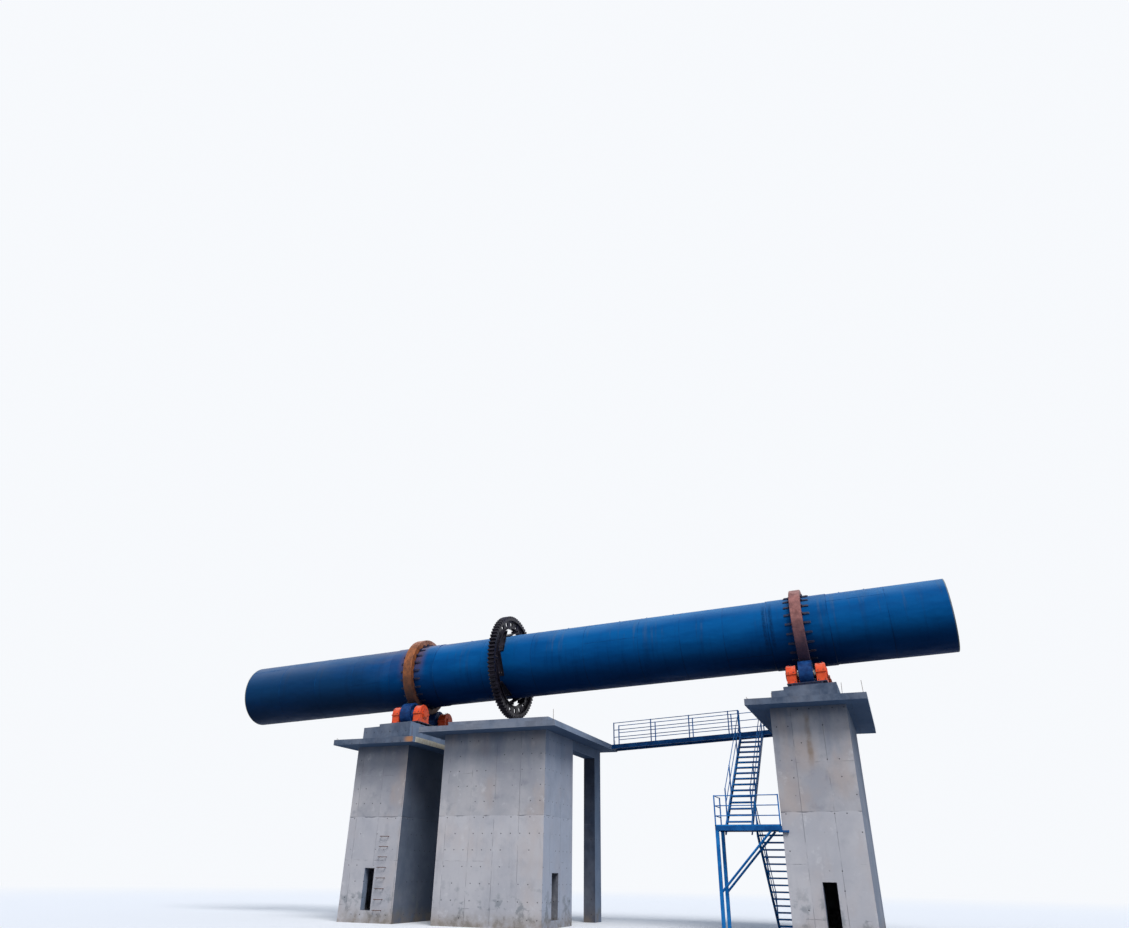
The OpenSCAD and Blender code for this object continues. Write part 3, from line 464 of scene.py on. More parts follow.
def bare_look(name, light, dark, scale=12.0, roughness=0.75, height=0.002):
    """A plain weathered surface in two tones, such as rusted bar, mortar or sawn board."""
    look = Look(name, roughness)
    here = look.here()
    patch = look.noise(here, scale, 7.0, 0.68)
    fine = look.noise(here, scale * 7, 4.0)
    colour = look.lay(dark, light, (patch, 0.34, 0.66))
    colour = look.lay(colour, dark, (fine, 0.55, 0.75, 0.0, 0.5))
    look.bump((patch, height), (fine, height / 3))
    return look.finish(colour)


# Formwork panels and tie holes
PANEL_WIDE = 1.22
PANEL_TALL = 1.83
PANEL_SHIFT = 0.31
POUR_JOINT = 4.35
TIE_ACROSS = 0.46
TIE_UP = 0.66

# Places of marks on the concrete, as x or as x and z
BROWN_DRIP_AT = 12.5
RUST_STAIN_AT = (-5.72, 7.68)
GAP_AT = high("lower_pier_walls").x
DOORWAYS = [space["box_m"] for space in frame["record"]["physics"]["openings"]
            if space["name"].endswith(("hatch", "doorway"))]

# Top of the lower pier's walls, and how much higher walls end beyond each x given
LOWER_TOP, DRIVE_TOP, UPPER_TOP = [high(pier + "_pier_walls").z for pier in ("lower", "drive", "upper")]
WALL_TOP_STEPS = ((-5.6, DRIVE_TOP - LOWER_TOP), (5.0, UPPER_TOP - DRIVE_TOP))

# Greys that weathered concrete turns to, and greys of painted shade for the drive pier's columns and beams
OLD_GREYS = ((58, 73, 95), (94, 107, 126))
SHADE_GREYS = ((22, 42, 68), (50, 68, 92))
DRIVE_GREYS = ((76, 90, 110), (116, 127, 144))

# Marks on the concrete, in the order they are laid
CONCRETE_MARKS = [
    # Cold and warm blotches, panels of their own tone, pale places
    ((134, 136, 146), ("patch", 0.52, 0.74, 0.0, 0.5)),
    ((186, 166, 154), ("warm", 0.46, 0.7, 0.0, 0.55)),
    ((146, 146, 152), "panel_tone", 0.22),
    ((214, 212, 212), ("patch", 0.42, 0.26, 0.0, 0.5)),
    # A paler tone below the pour joint
    ((206, 204, 208), ("wavy_height", POUR_JOINT + 0.02, POUR_JOINT - 0.02), "upright", 0.36),
    # Walls darken towards the slab above, in runs that are partly water stains and partly painted shade, and most
    # just under it, in a painted shadow of the slab
    ((118, 130, 150), ("z", 5.2, 8.2), "upright", ("drip", 0.42, 0.68, 0.1, 0.62)),
    ((74, 88, 110), ("under_top", 0.6, 0.0), "upright", "on_wall", ("patch", 0.2, 0.6, 0.5, 0.72)),
    # Grey runs of water, and the greys of old concrete, which on the drive pier's columns and beams are painted
    # shade
    ((128, 130, 138), ("drip", 0.55, 0.7), "upright", ("z", 8.0, 2.0), 0.22),
    ("grey", "weathered"),
    # A brown drip down the upper pier's front, and a rust stain on the lower slab's edge
    ((134, 110, 84), ("off_drip", 0.17, 0.03), ("z", 5.8, 6.5), ("z", 8.3, 7.8),
     ("patch", 0.3, 0.6, 0.4, 1.0), "faces_front", 0.6),
    ((196, 132, 76), ("off_stain", 0.4, 0.08), "faces_front", ("fine", 0.3, 0.6, 0.5, 1.0), 0.85),
    # Painted shade on the sides of the hatches and the doorway
    ((56, 66, 82), "in_doorway", ("patch", 0.2, 0.6, 0.7, 1.0), 0.84),
    # Painted light and shade on sides that face the raised end: paler and bluer on the lower and drive piers,
    # darker on the upper pier
    ("uphill", ("nx", 0.6, 0.9), ("cloud", 0.2, 0.6, 0.6, 1.0), ("on_upper", 0.0, 1.0, 0.4, 0.72)),
    # Painted shade on the lower pier's side in the gap beside the drive pier
    ((48, 66, 88), "on_end", ("off_gap", 0.04, 0.02), ("cloud", 0.2, 0.6, 0.75, 1.0), 0.84),
    # Painted shade on the soffits
    ((68, 96, 130), ("nz", -0.5, -0.9), ("patch", 0.2, 0.6, 0.6, 0.85)),
    # Damp patches and splashed soil near the ground
    ((112, 120, 124), ("z", 1.9, 0.7), ("patch", 0.52, 0.64), "upright", 0.55),
    ((140, 124, 104), ("z", 0.8, 0.0), ("patch", 0.3, 0.6), "upright", 0.6),
    # Seams, tie holes and pores
    ((108, 110, 118), "seam", 0.45),
    ((52, 52, 58), "hole", 0.9),
    ((104, 104, 110), "pore"),
]


class ConcreteLook(Look):
    """Cast concrete: formwork panels with seams, rows of tie holes, blotches, stains, a weathered tone and painted
    shade.
    """

    def __init__(self, name, weathered=0.0, greys=OLD_GREYS):
        super().__init__(name, 0.86, specular=0.1)
        here = self.here()
        self.x, self.y, self.z = self.split(here)
        self.nx, ny, self.nz = self.facing()
        self.on_end = self.math("GREATER_THAN", self.math("ABSOLUTE", self.nx), 0.7)
        level = self.math("GREATER_THAN", self.math("ABSOLUTE", self.nz), 0.7)
        self.upright = self.math("SUBTRACT", 1.0, level)
        self.faces_front = self.math("LESS_THAN", ny, -0.5)
        self.u = self.add("Mix", {0: self.on_end, 2: self.x, 3: self.y}, data_type="FLOAT")
        self.v = self.add("Mix", {0: level, 2: self.z, 3: self.y}, data_type="FLOAT")
        self.wobble = self.noise(here, 1.7, 3.0)
        self.cloud = self.noise(here, 0.45, 8.0, 0.6)
        self.patch = self.noise(here, 1.9, 7.0, 0.66)
        self.warm = self.noise(self.stretch(here, (0.6, 0.6, 0.35)), 1.1, 4.0)
        self.fine = self.noise(here, 26.0, 5.0, 0.7)
        self.drip = self.noise(self.join(self.both("u", 1.5), self.both("v", 0.22)), 1.0, 6.0, 0.62)
        # How far the greys are laid: weathering, and painted shade on the drive pier's columns and beams
        self.weathered = self.fade(self.warm, 0.3, 0.7, weathered * 0.8, weathered)
        self.grey = self.lay(*greys, ("patch", 0.3, 0.7))
        self.on_upper = self.fade(self.x, 4.0, 8.0)
        # Painted light and shade for sides that face the raised end
        self.uphill = self.lay((168, 190, 220), (96, 114, 138), "on_upper")
        cells = self.add("TexVoronoi", {"Vector": here, "Scale": 34.0}, feature="F1")
        self.pore = self.both((cells, 0.1, 0.04), 0.3)
        self.measure()
        self.cast_panels()
        self.leave_tie_holes()
        pits = self.math("ADD", self.math("MAXIMUM", self.seam, self.hole), self.pore)
        self.bump((self.patch, 0.008), (self.math("SUBTRACT", self.both("fine", 0.2), pits), 0.012))
        light = self.lay((165, 164, 170), (194, 190, 191), ("cloud", 0.34, 0.66))
        self.finish(self.lay_all(light, CONCRETE_MARKS), self.fade(self.cloud, 0.3, 0.7, 0.78, 0.92))

    def measure(self):
        """How a place lies to the stains, the gap, the doorways and the walls' tops."""
        self.waver = self.both(self.math("SUBTRACT", self.wobble, 0.5), 0.14)
        self.wavy_height = self.math("ADD", self.z, self.waver)
        self.off_drip = self.apart(self.math("ADD", self.x, self.waver), BROWN_DRIP_AT)
        across = self.math("SUBTRACT", self.x, RUST_STAIN_AT[0])
        above = self.both(self.math("SUBTRACT", self.z, RUST_STAIN_AT[1]), 1.6)
        self.off_stain = self.length(across, above)
        self.off_gap = self.apart(self.x, GAP_AT)
        self.in_doorway = 0.0
        for box in DOORWAYS:
            near = self.near_box((self.x, self.y, self.z), box, 0.012)
            self.in_doorway = self.math("MAXIMUM", self.in_doorway, near)
        top = LOWER_TOP
        for from_x, rise in WALL_TOP_STEPS:
            top = self.math("ADD", top, self.both(self.math("GREATER_THAN", self.x, from_x), rise))
        # Depth below a wall's top, for the painted shadow of the slab
        self.under_top = self.math("SUBTRACT", top, self.z)
        self.on_wall = self.math("LESS_THAN", self.z, top)

    def chance(self, across, up):
        """A value of its own, from 0 to 1, for each cell of a grid on the walls."""
        cell = self.join(self.math("FLOOR", across), self.math("FLOOR", up), self.math("ROUND", self.nx))
        return self.add("TexWhiteNoise", {"Vector": cell}, out="Value")

    def cast_panels(self):
        """The tone of each formwork panel, and the seams between panels and at the pour joint."""
        wide = self.math("DIVIDE", self.math("ADD", self.u, PANEL_SHIFT), PANEL_WIDE)
        tall = self.math("DIVIDE", self.math("SUBTRACT", self.v, POUR_JOINT), PANEL_TALL)
        self.panel_tone = self.chance(wide, tall)
        edge_u = self.both(self.math("PINGPONG", wide, 0.5), PANEL_WIDE)
        edge_v = self.both(self.math("PINGPONG", tall, 0.5), PANEL_TALL)
        seam_u = self.both((edge_u, 0.012, 0.003), ("wobble", 0.4, 0.56))
        seam_v = self.both((edge_v, 0.012, 0.003), ("wobble", 0.5, 0.66))
        above = self.math("ADD", self.math("SUBTRACT", self.z, POUR_JOINT), self.waver)
        joint = self.both((self.math("ABSOLUTE", above), 0.04, 0.01), ("wobble", 0.42, 0.6), "upright")
        self.seam = self.math("MAXIMUM", self.math("MAXIMUM", seam_u, seam_v), joint)

    def leave_tie_holes(self):
        """Rows of holes left by the formwork's ties, fewer on the upper pier."""
        cell_u = self.math("DIVIDE", self.u, TIE_ACROSS)
        cell_v = self.math("DIVIDE", self.v, TIE_UP)
        off_u = self.both(self.math("SUBTRACT", self.math("FRACT", cell_u), 0.5), TIE_ACROSS)
        off_v = self.both(self.math("SUBTRACT", self.math("FRACT", cell_v), 0.5), TIE_UP)
        filled = self.fade(self.x, 2.0, 6.0, 0.36, 0.66)
        left_open = self.math("GREATER_THAN", self.chance(cell_u, cell_v), filled)
        self.hole = self.both((self.length(off_u, off_v), 0.03, 0.016), left_open, "upright",
                              ("cloud", 0.38, 0.48))


LOOKS = {
    "shell_paint": ShellLook().material,
    "ring_steel": ring_look(),
    "pad_steel": pad_look(),
    "gear_steel": gear_look(),
    "roller_paint": roller_look(),
    "shaft_steel": steel_look(),
    "bearing_paint": bearing_look(),
    "base_paint": base_look(),
    "concrete": ConcreteLook("concrete").material,
    "stair_paint": stair_look(),
    "step_iron_steel": bare_look("rusted_bar", (118, 82, 66), (64, 48, 44), 20.0),
}
WELD = weld_look()
DECK = deck_look()
SLAB = ConcreteLook("slab_concrete", 0.98).material
DRIVE_SLAB = ConcreteLook("drive_slab_concrete", 0.8, DRIVE_GREYS).material
# Painted shade: the drive pier's columns and beams darkened all over
SHADED_CONCRETE = ConcreteLook("damp_concrete", 0.95, SHADE_GREYS).material
BOLT = bare_look("bolt_steel", (92, 80, 78), (44, 36, 38), 30.0, 0.5, 0.0008)
MORTAR = bare_look("mortar", (206, 188, 172), (168, 120, 92), 5.0, 0.9, 0.01)
# Pale sawn wood, made paler still with painted light where the drive slab shades the board
BOARD = bare_look("sawn_board", (250, 244, 226), (226, 214, 188), 6.0, 0.8, 0.002)

# Nodes whose look isn't that of their slot; the drive pier's columns and beams are in painted shade
SPECIAL_LOOKS = {"walkway_deck": DECK, "stair_landing": DECK,
                 "drive_pier_columns": SHADED_CONCRETE, "drive_pier_beams": SHADED_CONCRETE}
for pier, slab_look in (("lower", SLAB), ("drive", DRIVE_SLAB), ("upper", SLAB)):
    for part in ("_pier_slab", "_pier_plinth"):
        SPECIAL_LOOKS[pier + part] = slab_look


def dress_frame():
    """Gives every CAD node a look of its own or that of its slot."""
    slots = {part["node"]: part["material_slot"] for part in frame["record"]["subparts"]}
    for name, node in frame["nodes"].items():
        look = SPECIAL_LOOKS.get(name, LOOKS[slots[name]])
        node.data.materials.clear()
        node.data.materials.append(look)


# Mesh building
SHARP_ANGLE = 35.0


class Piece:
    """A mesh under construction, in metres in the shared frame."""

    def __init__(self, name):
        self.name = name
        self.points = []
        self.faces = []

    def solid(self, points, faces, place):
        first = len(self.points)
        self.points += [place @ Vector(p) for p in points]
        self.faces += [[first + i for i in face] for face in faces]

    def prism(self, outline, depth, place=Matrix.Identity(4)):
        """The outline, in x and y, swept from z = 0 to the depth."""
        n = len(outline)
        points = [(x, y, 0) for x, y in outline] + [(x, y, depth) for x, y in outline]
        faces = [[i, (i + 1) % n, n + (i + 1) % n, n + i] for i in range(n)]
        self.solid(points, [list(range(n))[::-1], list(range(n, 2 * n))] + faces, place)

    def box(self, corner, opposite, place=Matrix.Identity(4)):
        (x0, y0, z0), (x1, y1, z1) = corner, opposite
        self.prism([(x0, y0), (x1, y0), (x1, y1), (x0, y1)], z1 - z0, place @ at(0, 0, z0))

    def disc(self, radius, depth, place, sides=24, turned=0.0):
        angles = [turned + 2 * math.pi * i / sides for i in range(sides)]
        self.prism([(radius * math.cos(a), radius * math.sin(a)) for a in angles], depth, place)

    def spin(self, profile, place, steps=64, start=0.0, sweep=2 * math.pi):
        """A closed profile of (radius, height) turned about z, all the way round or in part."""
        whole = sweep >= 2 * math.pi
        rows = steps if whole else steps + 1
        n = len(profile)
        angles = [start + sweep * i / steps for i in range(rows)]
        points = [(r * math.cos(a), r * math.sin(a), h) for a in angles for r, h in profile]
        faces = []
        for i in range(steps):
            this, after = i * n, (i + 1) % rows * n
            faces += [[this + k, after + k, after + (k + 1) % n, this + (k + 1) % n] for k in range(n)]
        if not whole:
            faces += [list(range(n)), list(range((rows - 1) * n, rows * n))[::-1]]
        self.solid(points, faces, place)

    def rod(self, start, end, diameter, sides=8):
        way = Vector(end) - Vector(start)
        place = Matrix.Translation(start) @ way.to_track_quat("Z", "Y").to_matrix().to_4x4()
        self.disc(diameter / 2, way.length, place, sides)

    def bolt(self, place, size, length=0.0):
        """A washer and a hexagon head, or a nut on a stud where a length is given."""
        self.disc(size * 1.1, size * 0.18, place, 16)
        self.disc(size * 0.9, size * 0.85, place, 6, random.random())
        if length:
            self.disc(size / 2, length, place, 10)

    def done(self, body, look):
        mesh = bpy.data.meshes.new(self.name)
        mesh.from_pydata(self.points, [], self.faces)
        build = bmesh.new()
        build.from_mesh(mesh)
        bmesh.ops.recalc_face_normals(build, faces=build.faces)
        build.to_mesh(mesh)
        build.free()
        mesh.shade_smooth()
        mesh.set_sharp_from_angle(angle=math.radians(SHARP_ANGLE))
        mesh.materials.append(look)
        piece = bpy.data.objects.new(self.name, mesh)
        bpy.context.scene.collection.objects.link(piece)
        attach(piece, body)


# Pieces on the drum
BEAD = 0.03
BEAD_HEIGHT = 0.006
BEAD_SINK = 0.004
BEAD_STEPS = 160
LONG_SEAM_GAP = 0.02
FILLET_FOOT = 0.034
FILLET_HEAD = 0.008
FILLET_RISE = 0.002


def ring_seam(piece, s, radius):
    """A bead round the shell."""
    foot, shoulder, crown = radius - BEAD_SINK, radius + BEAD_HEIGHT * 0.7, radius + BEAD_HEIGHT
    half = BEAD / 2
    profile = [(foot, -half), (shoulder, -half / 2), (crown, 0), (shoulder, half / 2), (foot, half)]
    piece.spin(profile, KILN @ at(s) @ Z_TO_X, BEAD_STEPS)


def long_seam(piece, s, step, radius, angle):
    """A bead along one plate."""
    foot, crown = radius - BEAD_SINK, radius + BEAD_HEIGHT * 0.8
    half = BEAD / 2
    outline = [(-half, foot), (-half / 2, crown), (half / 2, crown), (half, foot)]
    place = KILN @ at(s + LONG_SEAM_GAP) @ turn(angle, "X") @ SECTION_TO_X
    piece.prism(outline, step - 2 * LONG_SEAM_GAP, place)


def shell_welds():
    """Ring seams between the plates, fillets at the thicker courses and one long seam in each plate."""
    piece = Piece("shell_welds")
    joined = {round(end, 3) for node in PLATES for end in span(node)}
    for count, (s, step, radius) in enumerate(plate_ends()):
        if round(s, 3) not in joined:
            ring_seam(piece, s, radius)
        long_seam(piece, s, step, radius, 47 + 139 * count)
    foot, head = SHELL_R - BEAD_SINK, THICK_R + FILLET_RISE
    for node in ("lower_ring_shell", "upper_ring_shell"):
        for side, s in zip((-1, 1), span(node)):
            fillet = [(foot, 0), (head, 0), (head, FILLET_HEAD * side), (foot, FILLET_FOOT * side)]
            piece.spin(fillet, KILN @ at(s) @ Z_TO_X, BEAD_STEPS)
    ring_seam(piece, span("gear_shell")[1], SHELL_R)
    piece.done("drum", WELD)


GEAR_FLANGE = 0.055
GEAR_BOLT = 0.036
GEAR_NUT_STUD = 0.05
GEAR_BOLT_ROWS = 4
SPRING_COUNT = 8
SPRING_BOLT = 0.03
SPRING_LUG_DEPTH = 0.31
SPRING_LUG_TILT = -34


def gear_bolts():
    """Bolts through the joint flanges of the two halves and through the spring lugs."""
    piece = Piece("gear_bolts")
    hub = high("girth_gear_springs").y
    first = hub + 0.07
    last = high("girth_gear_top").y - 0.17
    for side in (-1, 1):
        for i in range(GEAR_BOLT_ROWS):
            radius = first + i * (last - first) / (GEAR_BOLT_ROWS - 1)
            for offset in (-0.08, 0.08):
                place = KILN @ at(GEAR_AT + offset, side * radius, GEAR_FLANGE)
                piece.bolt(place, GEAR_BOLT, GEAR_NUT_STUD)
                piece.bolt(place @ at(0, 0, -2 * GEAR_FLANGE) @ turn(180, "X"), GEAR_BOLT, GEAR_NUT_STUD)
    for i in range(SPRING_COUNT):
        lug = KILN @ at(GEAR_AT) @ turn((i + 0.5) * 360 / SPRING_COUNT, "X")
        for offset in (-0.12, 0.0, 0.12):
            place = lug @ at(offset, 0, hub - SPRING_LUG_DEPTH) @ turn(SPRING_LUG_TILT, "X")
            piece.bolt(place @ at(0, 0, SPRING_BOLT), SPRING_BOLT, SPRING_BOLT)
    piece.done("drum", BOLT)


# Pieces on the piers: rollers' housings and bases
BEARING_AT = 0.64
BEARING_LENGTH = 0.42
BEARING_HALF_WIDTH = 0.43
BEARING_HEIGHT = 0.45
FOOT_PLATE = 0.06
BASE_HEIGHT = 0.3
BASE_REACH = 1.95
BASE_FLANGE = 0.04
CROSS_BEAM = 0.44

CAP_FLANGE = 0.03
CAP_LIP = 0.045
BAND_HALF_WIDTH = 0.025
BAND_RISE = 0.018
COVER_R = 0.27
COVER_DEPTH = 0.03
HUB_CAP_R = 0.19
HUB_CAP_DEPTH = 0.055
COVER_BOLTS = 8
COVER_BOLT_R = 0.23


def roller_places(station):
    """The middle of each roller of a station, on the kiln's axes."""
    turned = KILN.to_3x3().to_4x4()
    return [Matrix.Translation(JOINTS[f"{station}_{side}_turn"]["pos_m"]) @ turned
            for side in ("front", "rear")]


def cap_trim(painted, spot):
    """The flange that a cap is bolted down by, and two bands over its arch."""
    half = BEARING_LENGTH / 2
    lip = BEARING_HALF_WIDTH + CAP_LIP
    skin = 0.012
    painted.box((-half - skin, -lip, -CAP_FLANGE), (half + skin, lip, CAP_FLANGE), spot)
    inner, outer = BEARING_HALF_WIDTH - 0.01, BEARING_HALF_WIDTH + BAND_RISE
    band = [(inner, -BAND_HALF_WIDTH), (outer, -BAND_HALF_WIDTH), (outer, BAND_HALF_WIDTH),
            (inner, BAND_HALF_WIDTH)]
    for x in (-half + 0.05, half - 0.05):
        painted.spin(band, spot @ at(x) @ Z_TO_X, 28, math.pi / 2, math.pi)


def housing_bolts(bolts, spot):
    """Bolts of the cap and of the foot, on both sides of a housing."""
    foot_x = BEARING_LENGTH / 2 - 0.07
    for side in (-1, 1):
        for x in (-0.11, 0.11):
            bolts.bolt(spot @ at(x, side * (BEARING_HALF_WIDTH + 0.024), CAP_FLANGE), 0.026, 0.05)
        for x in (-foot_x, foot_x):
            foot = at(x, side * (BEARING_HALF_WIDTH + 0.025), FOOT_PLATE - BEARING_HEIGHT)
            bolts.bolt(spot @ foot, 0.028, 0.06)


def end_cover(painted, bolts, outward):
    """The cover on the outer end of a housing, with its hub and bolts."""
    painted.disc(COVER_R, COVER_DEPTH, outward, 40)
    painted.disc(HUB_CAP_R, HUB_CAP_DEPTH, outward, 32)
    for i in range(COVER_BOLTS):
        angle = 2 * math.pi * (i + 0.5) / COVER_BOLTS
        spot = at(COVER_BOLT_R * math.cos(angle), COVER_BOLT_R * math.sin(angle), COVER_DEPTH)
        bolts.bolt(outward @ spot, 0.02)


def lifting_eye(bolts, spot):
    """A ring eye on top of a cap."""
    wire_r, eye_r, sides = 0.008, 0.03, 8
    angles = [2 * math.pi * i / sides for i in range(sides)]
    eye = [(eye_r + wire_r * math.cos(a), wire_r * math.sin(a)) for a in angles]
    bolts.spin(eye, spot @ at(0, 0, BEARING_HALF_WIDTH + 0.035) @ turn(90, "X"), 16)


def bearing_fittings(station):
    """Trim, end covers, lifting eyes, filler plugs and bolts of a station's four housings."""
    painted = Piece(station + "_bearing_fittings")
    bolts = Piece(station + "_bearing_bolts")
    for place in roller_places(station):
        for side in (-1, 1):
            spot = place @ at(side * BEARING_AT)
            cap_trim(painted, spot)
            housing_bolts(bolts, spot)
            end_cover(painted, bolts, spot @ at(side * BEARING_LENGTH / 2) @ turn(90 * side, "Y"))
            lifting_eye(bolts, spot)
            painted.disc(0.022, 0.06, spot @ at(0.1 * side, 0, BEARING_HALF_WIDTH - 0.01), 12)
    painted.done("piers", LOOKS["bearing_paint"])
    bolts.done("piers", BOLT)


STIFFENERS = 9
STIFFENER_HALF = 0.008
STIFFENER_INSET = 0.012
ANCHOR_BOLT = 0.034
MORTAR_STEPS = 44
MORTAR_SINK = -0.02


def stiffeners_and_anchors(plates, anchors, beam):
    """Plates across a beam of a base frame, and a pair of anchor bolts between each two of them."""
    pitch = 2 * (BASE_REACH - 0.12) / (STIFFENERS - 1)
    edge, inner = CROSS_BEAM / 2 - STIFFENER_INSET, 0.03
    top = BASE_HEIGHT - BASE_FLANGE
    for i in range(STIFFENERS):
        y = (i - (STIFFENERS - 1) / 2) * pitch
        for x0, x1 in ((-edge, -inner), (inner, edge)):
            plates.box((x0, y - STIFFENER_HALF, BASE_FLANGE), (x1, y + STIFFENER_HALF, top), beam)
        if i < STIFFENERS - 1:
            for x in (-0.15, 0.15):
                anchors.bolt(beam @ at(x, y + pitch / 2, BASE_FLANGE), ANCHOR_BOLT, 0.09)


def mortar_fillet(bed, ground, side):
    """Mortar pressed out beside a base frame, uneven along its length."""
    for i in range(MORTAR_STEPS):
        start = -BASE_REACH + 2 * BASE_REACH * i / MORTAR_STEPS
        end = start + 2 * BASE_REACH / MORTAR_STEPS
        width = 0.06 + 0.05 * random.random()
        height = 0.018 + 0.02 * random.random()
        outline = [(0, MORTAR_SINK), (0, height), (side * width * 0.5, height * 0.55),
                   (side * width, MORTAR_SINK)]
        place = ground @ at(side * (BEARING_AT + CROSS_BEAM / 2), end) @ turn(90, "X")
        bed.prism(outline, end - start, place)


def base_fittings(station):
    """Stiffeners and anchor bolts of a base frame, and the mortar that beds it on its plinth."""
    plates = Piece(station + "_base_stiffeners")
    anchors = Piece(station + "_anchor_bolts")
    bed = Piece(station + "_mortar_bed")
    centre = KILN @ at(RING_AT[station])
    points = frame["nodes"][station + "_roller_base"].data.vertices
    ground = centre @ at(0, 0, min((centre.inverted() @ point.co).z for point in points))
    for side in (-1, 1):
        stiffeners_and_anchors(plates, anchors, ground @ at(side * BEARING_AT))
    for side in (-1, 1):
        mortar_fillet(bed, ground, side)
    plates.done("piers", LOOKS["base_paint"])
    anchors.done("piers", BOLT)
    bed.done("piers", MORTAR)


# Pieces on the concrete
REBAR = 0.018
REBAR_SINK = 0.02
REBAR_LEAN = 0.03
BOARD_PLATE = 0.03
BOARD_LENGTH = 1.86
BOARD_PITCH = 1.9


def rebar_stubs():
    """Cut ends of bars left standing at the slabs' corners and beside the upper plinth."""
    piece = Piece("rebar_stubs")
    for node in ("lower_pier_slab", "upper_pier_slab", "drive_pier_slab"):
        a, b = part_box(node)
        spots = [(b.x - 0.12, a.y + 0.1, 0.5), (a.x + 0.1, a.y + 0.09, 0.11), (a.x + 0.14, a.y + 0.14, 0.07),
                 (b.x - 0.1, b.y - 0.12, 0.34), (a.x + 0.1, b.y - 0.16, 0.22)]
        for x, y, height in spots:
            lean_x = random.uniform(-REBAR_LEAN, REBAR_LEAN)
            lean_y = random.uniform(-REBAR_LEAN, REBAR_LEAN)
            foot = Vector((x, y, b.z - REBAR_SINK))
            piece.rod(foot, foot + Vector((lean_x, lean_y, height)), REBAR)
    a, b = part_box("upper_pier_plinth")
    top = high("upper_pier_slab").z
    for x, y, height in ((b.x + 0.12, -1.9, 0.95), (a.x - 0.1, -2.3, 0.62)):
        piece.rod((x, y, top - REBAR_SINK), (x + REBAR_LEAN, y, top + height), REBAR)
    piece.done("piers", LOOKS["step_iron_steel"])


def form_board():
    """Lengths of formwork left on the upper end of the lower pier's slab."""
    piece = Piece("form_board")
    a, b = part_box("lower_pier_slab")
    for i in range(3):
        y0 = a.y + 0.25 + i * BOARD_PITCH
        top = b.z - 0.015 * (i % 2)
        piece.box((b.x + 0.0005, y0, a.z + 0.02), (b.x + BOARD_PLATE, y0 + BOARD_LENGTH, top))
    piece.done("piers", BOARD)


# Pieces on the walkway and the stair
EDGE_BEAM = high("drive_pier_slab").z - low("walkway_deck").z
EDGE_BEAM_WIDTH = 0.068
CROSS_MEMBERS = 11
CROSS_MEMBER_END = 0.35
CROSS_MEMBER_DROP = 0.0245
ANGLE_LEG = 0.06
ANGLE_PLATE = 0.006
CLIP_LENGTH = 0.26
CLIP_HALF_WIDTH = 0.06
CLIP_TOP = 0.012


def walk_height(x):
    """Height of the walkway's top at a place along the kiln."""
    a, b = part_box("walkway_deck")
    low_top = a.z + EDGE_BEAM
    return low_top + (b.z - low_top) * (x - a.x) / (b.x - a.x)


def walkway_fittings():
    """Cross members of the walkway, and the clips that hold its ends to the slabs."""
    steel = Piece("walkway_cross_members")
    bolts = Piece("walkway_bolts")
    a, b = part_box("walkway_deck")
    tilt = math.degrees(math.atan((walk_height(b.x) - walk_height(a.x)) / (b.x - a.x)))
    y0, y1 = a.y + EDGE_BEAM_WIDTH, b.y - EDGE_BEAM_WIDTH
    half = ANGLE_LEG / 2
    for i in range(CROSS_MEMBERS):
        x = a.x + CROSS_MEMBER_END + (b.x - a.x - 2 * CROSS_MEMBER_END) * i / (CROSS_MEMBERS - 1)
        lie = at(x, 0, walk_height(x) - CROSS_MEMBER_DROP) @ turn(-tilt, "Y")
        steel.box((-half, y0, -ANGLE_LEG), (ANGLE_PLATE - half, y1, 0), lie)
        steel.box((-half, y0, -ANGLE_PLATE), (half, y1, 0), lie)
    for x, z, side in ((a.x, a.z + EDGE_BEAM, -1), (b.x, b.z, 1)):
        x0, x1 = sorted((0, side * CLIP_LENGTH))
        for y in (a.y + 0.12, b.y - 0.12):
            steel.box((x0, -CLIP_HALF_WIDTH, 0.0006), (x1, CLIP_HALF_WIDTH, CLIP_TOP), at(x, y, z))
            for reach in (0.09, 0.19):
                bolts.bolt(at(x + side * reach, y, z + CLIP_TOP), 0.018, 0.03)
    steel.done("piers", LOOKS["stair_paint"])
    bolts.done("piers", BOLT)


TREADS = {"stair_upper_flight": 16, "stair_lower_flight": 14}
TREAD_DEPTH = 0.24
TREAD_PLATE = 0.04
STRINGER_DEPTH = 0.22
STRINGER_PLATE = 0.014
LIP_DEPTH = 0.062
LIP_PLATE = 0.006
CLEAT_HALF = 0.09
CLEAT_DROP = 0.05


def flight_fittings(node):
    """Lips down both edges of each tread of a flight, and the cleats that hold its ends."""
    piece = Piece(node.replace("stair_", "") + "_lips")
    a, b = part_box(node)
    climbs_back = node == "stair_upper_flight"
    landing = high("stair_landing").z
    foot = landing if climbs_back else 0.0
    top = walk_height((a.x + b.x) / 2) if climbs_back else landing
    run, rise = b.y - a.y, top - foot
    depth = STRINGER_DEPTH * math.hypot(run, rise) / run
    step = rise / (TREADS[node] + 1)
    x0, x1 = a.x + STRINGER_PLATE, b.x - STRINGER_PLATE
    for i in range(1, TREADS[node] + 1):
        z = foot + i * step
        under = z - TREAD_PLATE
        reach = (i * step + (depth - TREAD_PLATE) / 2) * run / rise
        y = a.y + reach if climbs_back else b.y - reach
        for edge in (y - TREAD_DEPTH / 2 - LIP_PLATE, y + TREAD_DEPTH / 2):
            piece.box((x0, edge, z - LIP_DEPTH), (x1, edge + LIP_PLATE, z))
        for x in (x0, x1 - LIP_PLATE):
            piece.box((x, y - CLEAT_HALF, under - CLEAT_DROP), (x + LIP_PLATE, y + CLEAT_HALF, under))
    piece.done("piers", LOOKS["stair_paint"])


